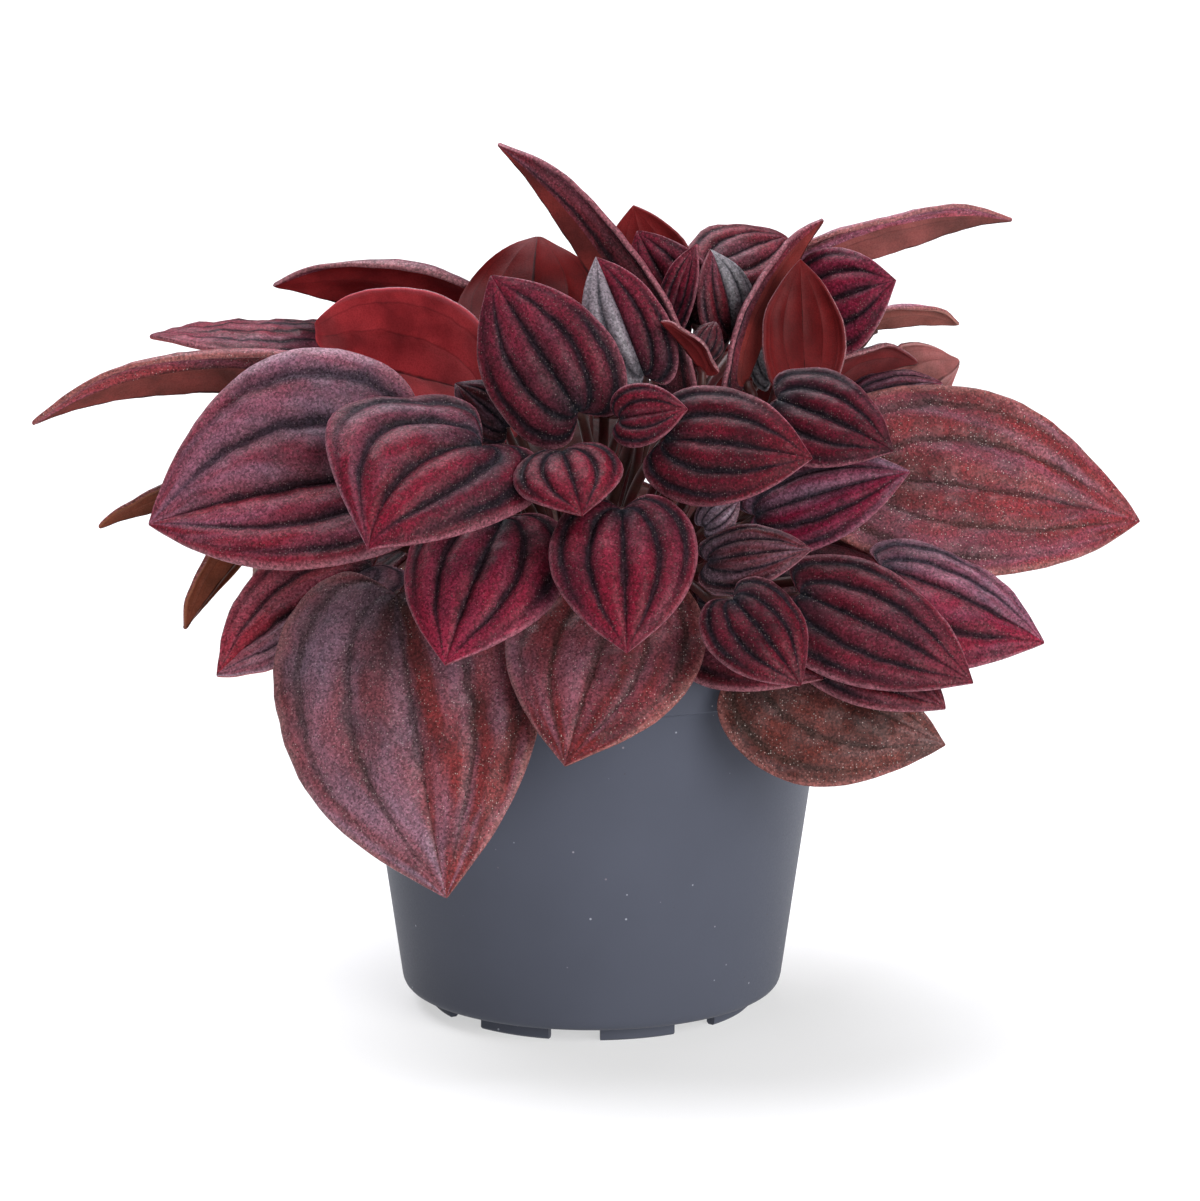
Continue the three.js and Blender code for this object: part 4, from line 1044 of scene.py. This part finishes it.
class PEPEROMIA_OT_leaves(bpy.types.Operator):
    """Grow every leaf: its stalk out of the soil and its rippled blade"""

    bl_idname = "peperomia.leaves"
    bl_label = "Leaves"

    def execute(self, context):
        settings = context.scene.peperomia_leaves
        blade = settings.blade / MM
        skins = {finish: [leaf_upper(tuple(settings.vein_shade), tuple(settings.painted_sheen), *upper),
                          leaf_under(*under)] for finish, (upper, under) in SKINS.items()}
        stalk = leaf_stalk(
            "Leaf_stalk_fleshy", tuple(settings.stalk_low), tuple(settings.stalk_high))
        leaves = [Leaf(index, *entry) for index, entry in enumerate(LEAVES)]
        roots = plant_roots(leaves)
        routes = np.array([stalk_route(leaf, root, blade) for leaf, root in zip(leaves, roots)])
        bend_clear(leaves, routes, blade)
        for leaf, route in zip(leaves, routes):
            points, faces, places, down = blade_mesh(leaf, blade, settings.detail)
            tuck = leaf.point(STALK_TUCK / leaf.length, 0, -STALK_DROP * blade)
            path = np.vstack([route, tuck])
            radii = np.full(len(path), leaf.stalk_radius)
            radii[0] *= STALK_FOOT
            radii[-1] *= STALK_END
            stalk_points, stalk_faces = tube(path, radii, STALK_SIDES)
            first = len(points)
            faces += [tuple(first + i for i in face) for face in stalk_faces]
            mesh = make_mesh(leaf.name + "_blade", np.vstack([points, stalk_points]), faces)
            kinds = down + [2] * len(stalk_faces)
            mesh.polygons.foreach_set("material_index", kinds)
            layer = mesh.uv_layers.new(name="Blade")
            corners = np.empty(len(mesh.loops), int)
            mesh.loops.foreach_get("vertex_index", corners)
            places = np.vstack([places, np.full((len(stalk_points), 2), 0.5)])
            layer.data.foreach_set("uv", places[corners].ravel())
            # Each leaf's tint, with painted light and shade for where it hangs, and in its alpha
            # the silver and painted sheen.
            silver = np.repeat(np.broadcast_to(leaf.silver, 2), 2)
            lifted_and_sheen = np.interp(places[:, 0], HALVES, silver)
            colours = np.column_stack([np.broadcast_to(leaf.tint, (len(places), 3)), 1 - lifted_and_sheen])
            tint = mesh.attributes.new("tint", "FLOAT_COLOR", "POINT")
            tint.data.foreach_set("color", colours.ravel())
            make_piece(
                leaf.name + "_grown", mesh, [*skins[leaf.finish], stalk], leaf.name)
        return {"FINISHED"}


CAMERA_TARGET = (2.0, 0.0, 98.6)  # millimetres
CAMERA_DISTANCE = 1300
CAMERA_ELEVATION = math.radians(12)
CAMERA_LENS = 161.7
SENSOR_WIDTH = 36
FLOOR_REACH = 12  # metres from the pot to the floor's edge
FLOOR_SIDES = 96


class PEPEROMIA_OT_stage(bpy.types.Operator):
    """Lay the pale floor and set the soft studio lights and the camera"""

    bl_idname = "peperomia.stage"
    bl_label = "Stage"

    def execute(self, context):
        scene = context.scene
        settings = scene.peperomia_stage
        angles = 2 * np.pi * np.arange(FLOOR_SIDES) / FLOOR_SIDES
        mesh = bpy.data.meshes.new("floor")
        ring = [(FLOOR_REACH * math.cos(a), FLOOR_REACH * math.sin(a), 0.0) for a in angles]
        mesh.from_pydata(ring, [], [tuple(range(FLOOR_SIDES))])
        sheet = light_table("Acrylic_sheet_opal_blasted", tuple(settings.floor), settings.glow)
        mesh.materials.append(sheet)
        placed("studio_floor", mesh)
        # Name, strength, the way to it, its spread in degrees and its colour.
        lights = [
            ("top_light", settings.top_light, (-0.2, 0.35, 1.0), 64, 0xf8f8ff),
            ("front_light", settings.front_light, (0.75, -1.0, 0.3), 50, 0xffffff),
        ]
        for name, strength, towards, spread, colour in lights:
            lamp = bpy.data.lights.new(name, "SUN")
            lamp.energy = strength
            lamp.angle = math.radians(spread)
            lamp.color = linear(colour)[:3]
            light = placed(name, lamp)
            light.rotation_euler = Vector(towards).to_track_quat("Z", "Y").to_euler()
        world = bpy.data.worlds.new("studio")
        world.use_nodes = True
        background = world.node_tree.nodes["Background"]
        background.inputs["Color"].default_value = (1, 1, 1, 1)
        background.inputs["Strength"].default_value = settings.sky
        scene.world = world
        scene.view_settings.view_transform = "Standard"
        camera_data = bpy.data.cameras.new("camera")
        camera_data.lens = CAMERA_LENS
        camera_data.sensor_width = SENSOR_WIDTH
        camera_data.clip_end = 100
        camera = placed("camera", camera_data)
        back = Vector((0, -math.cos(CAMERA_ELEVATION), math.sin(CAMERA_ELEVATION)))
        camera.location = (Vector(CAMERA_TARGET) + back * CAMERA_DISTANCE) * MM
        camera.rotation_euler = (-back).to_track_quat("-Z", "Y").to_euler()
        scene.camera = camera
        return {"FINISHED"}


class PEPEROMIA_PT_panel(bpy.types.Panel):
    """Lists the pieces of the plant in the sidebar"""

    bl_idname = "PEPEROMIA_PT_panel"
    bl_label = "Ripple Peperomia"
    bl_space_type = "VIEW_3D"
    bl_region_type = "UI"
    bl_category = "Peperomia"

    def draw(self, context):
        for name, group in SETTINGS.items():
            box = self.layout.box()
            box.operator(name.replace("_", "."))
            for key in group.__annotations__:
                box.prop(getattr(context.scene, name), key)


SETTINGS = {
    "peperomia_pot": PotSettings, "peperomia_soil": SoilSettings, "peperomia_leaves": LeafSettings,
    "peperomia_stage": StageSettings,
}
CLASSES = (
    *SETTINGS.values(), PEPEROMIA_OT_pot, PEPEROMIA_OT_soil, PEPEROMIA_OT_leaves,
    PEPEROMIA_OT_stage, PEPEROMIA_PT_panel,
)


def register():
    for entry in CLASSES:
        bpy.utils.register_class(entry)
    for name, group in SETTINGS.items():
        setattr(bpy.types.Scene, name, bpy.props.PointerProperty(type=group))


def unregister():
    for name in SETTINGS:
        delattr(bpy.types.Scene, name)
    for entry in reversed(CLASSES):
        bpy.utils.unregister_class(entry)


def main():
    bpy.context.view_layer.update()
    register()
    bpy.ops.peperomia.pot()
    bpy.ops.peperomia.soil()
    bpy.ops.peperomia.leaves()
    bpy.ops.peperomia.stage()
    bpy.context.view_layer.update()


if __name__ == "__main__":
    main()
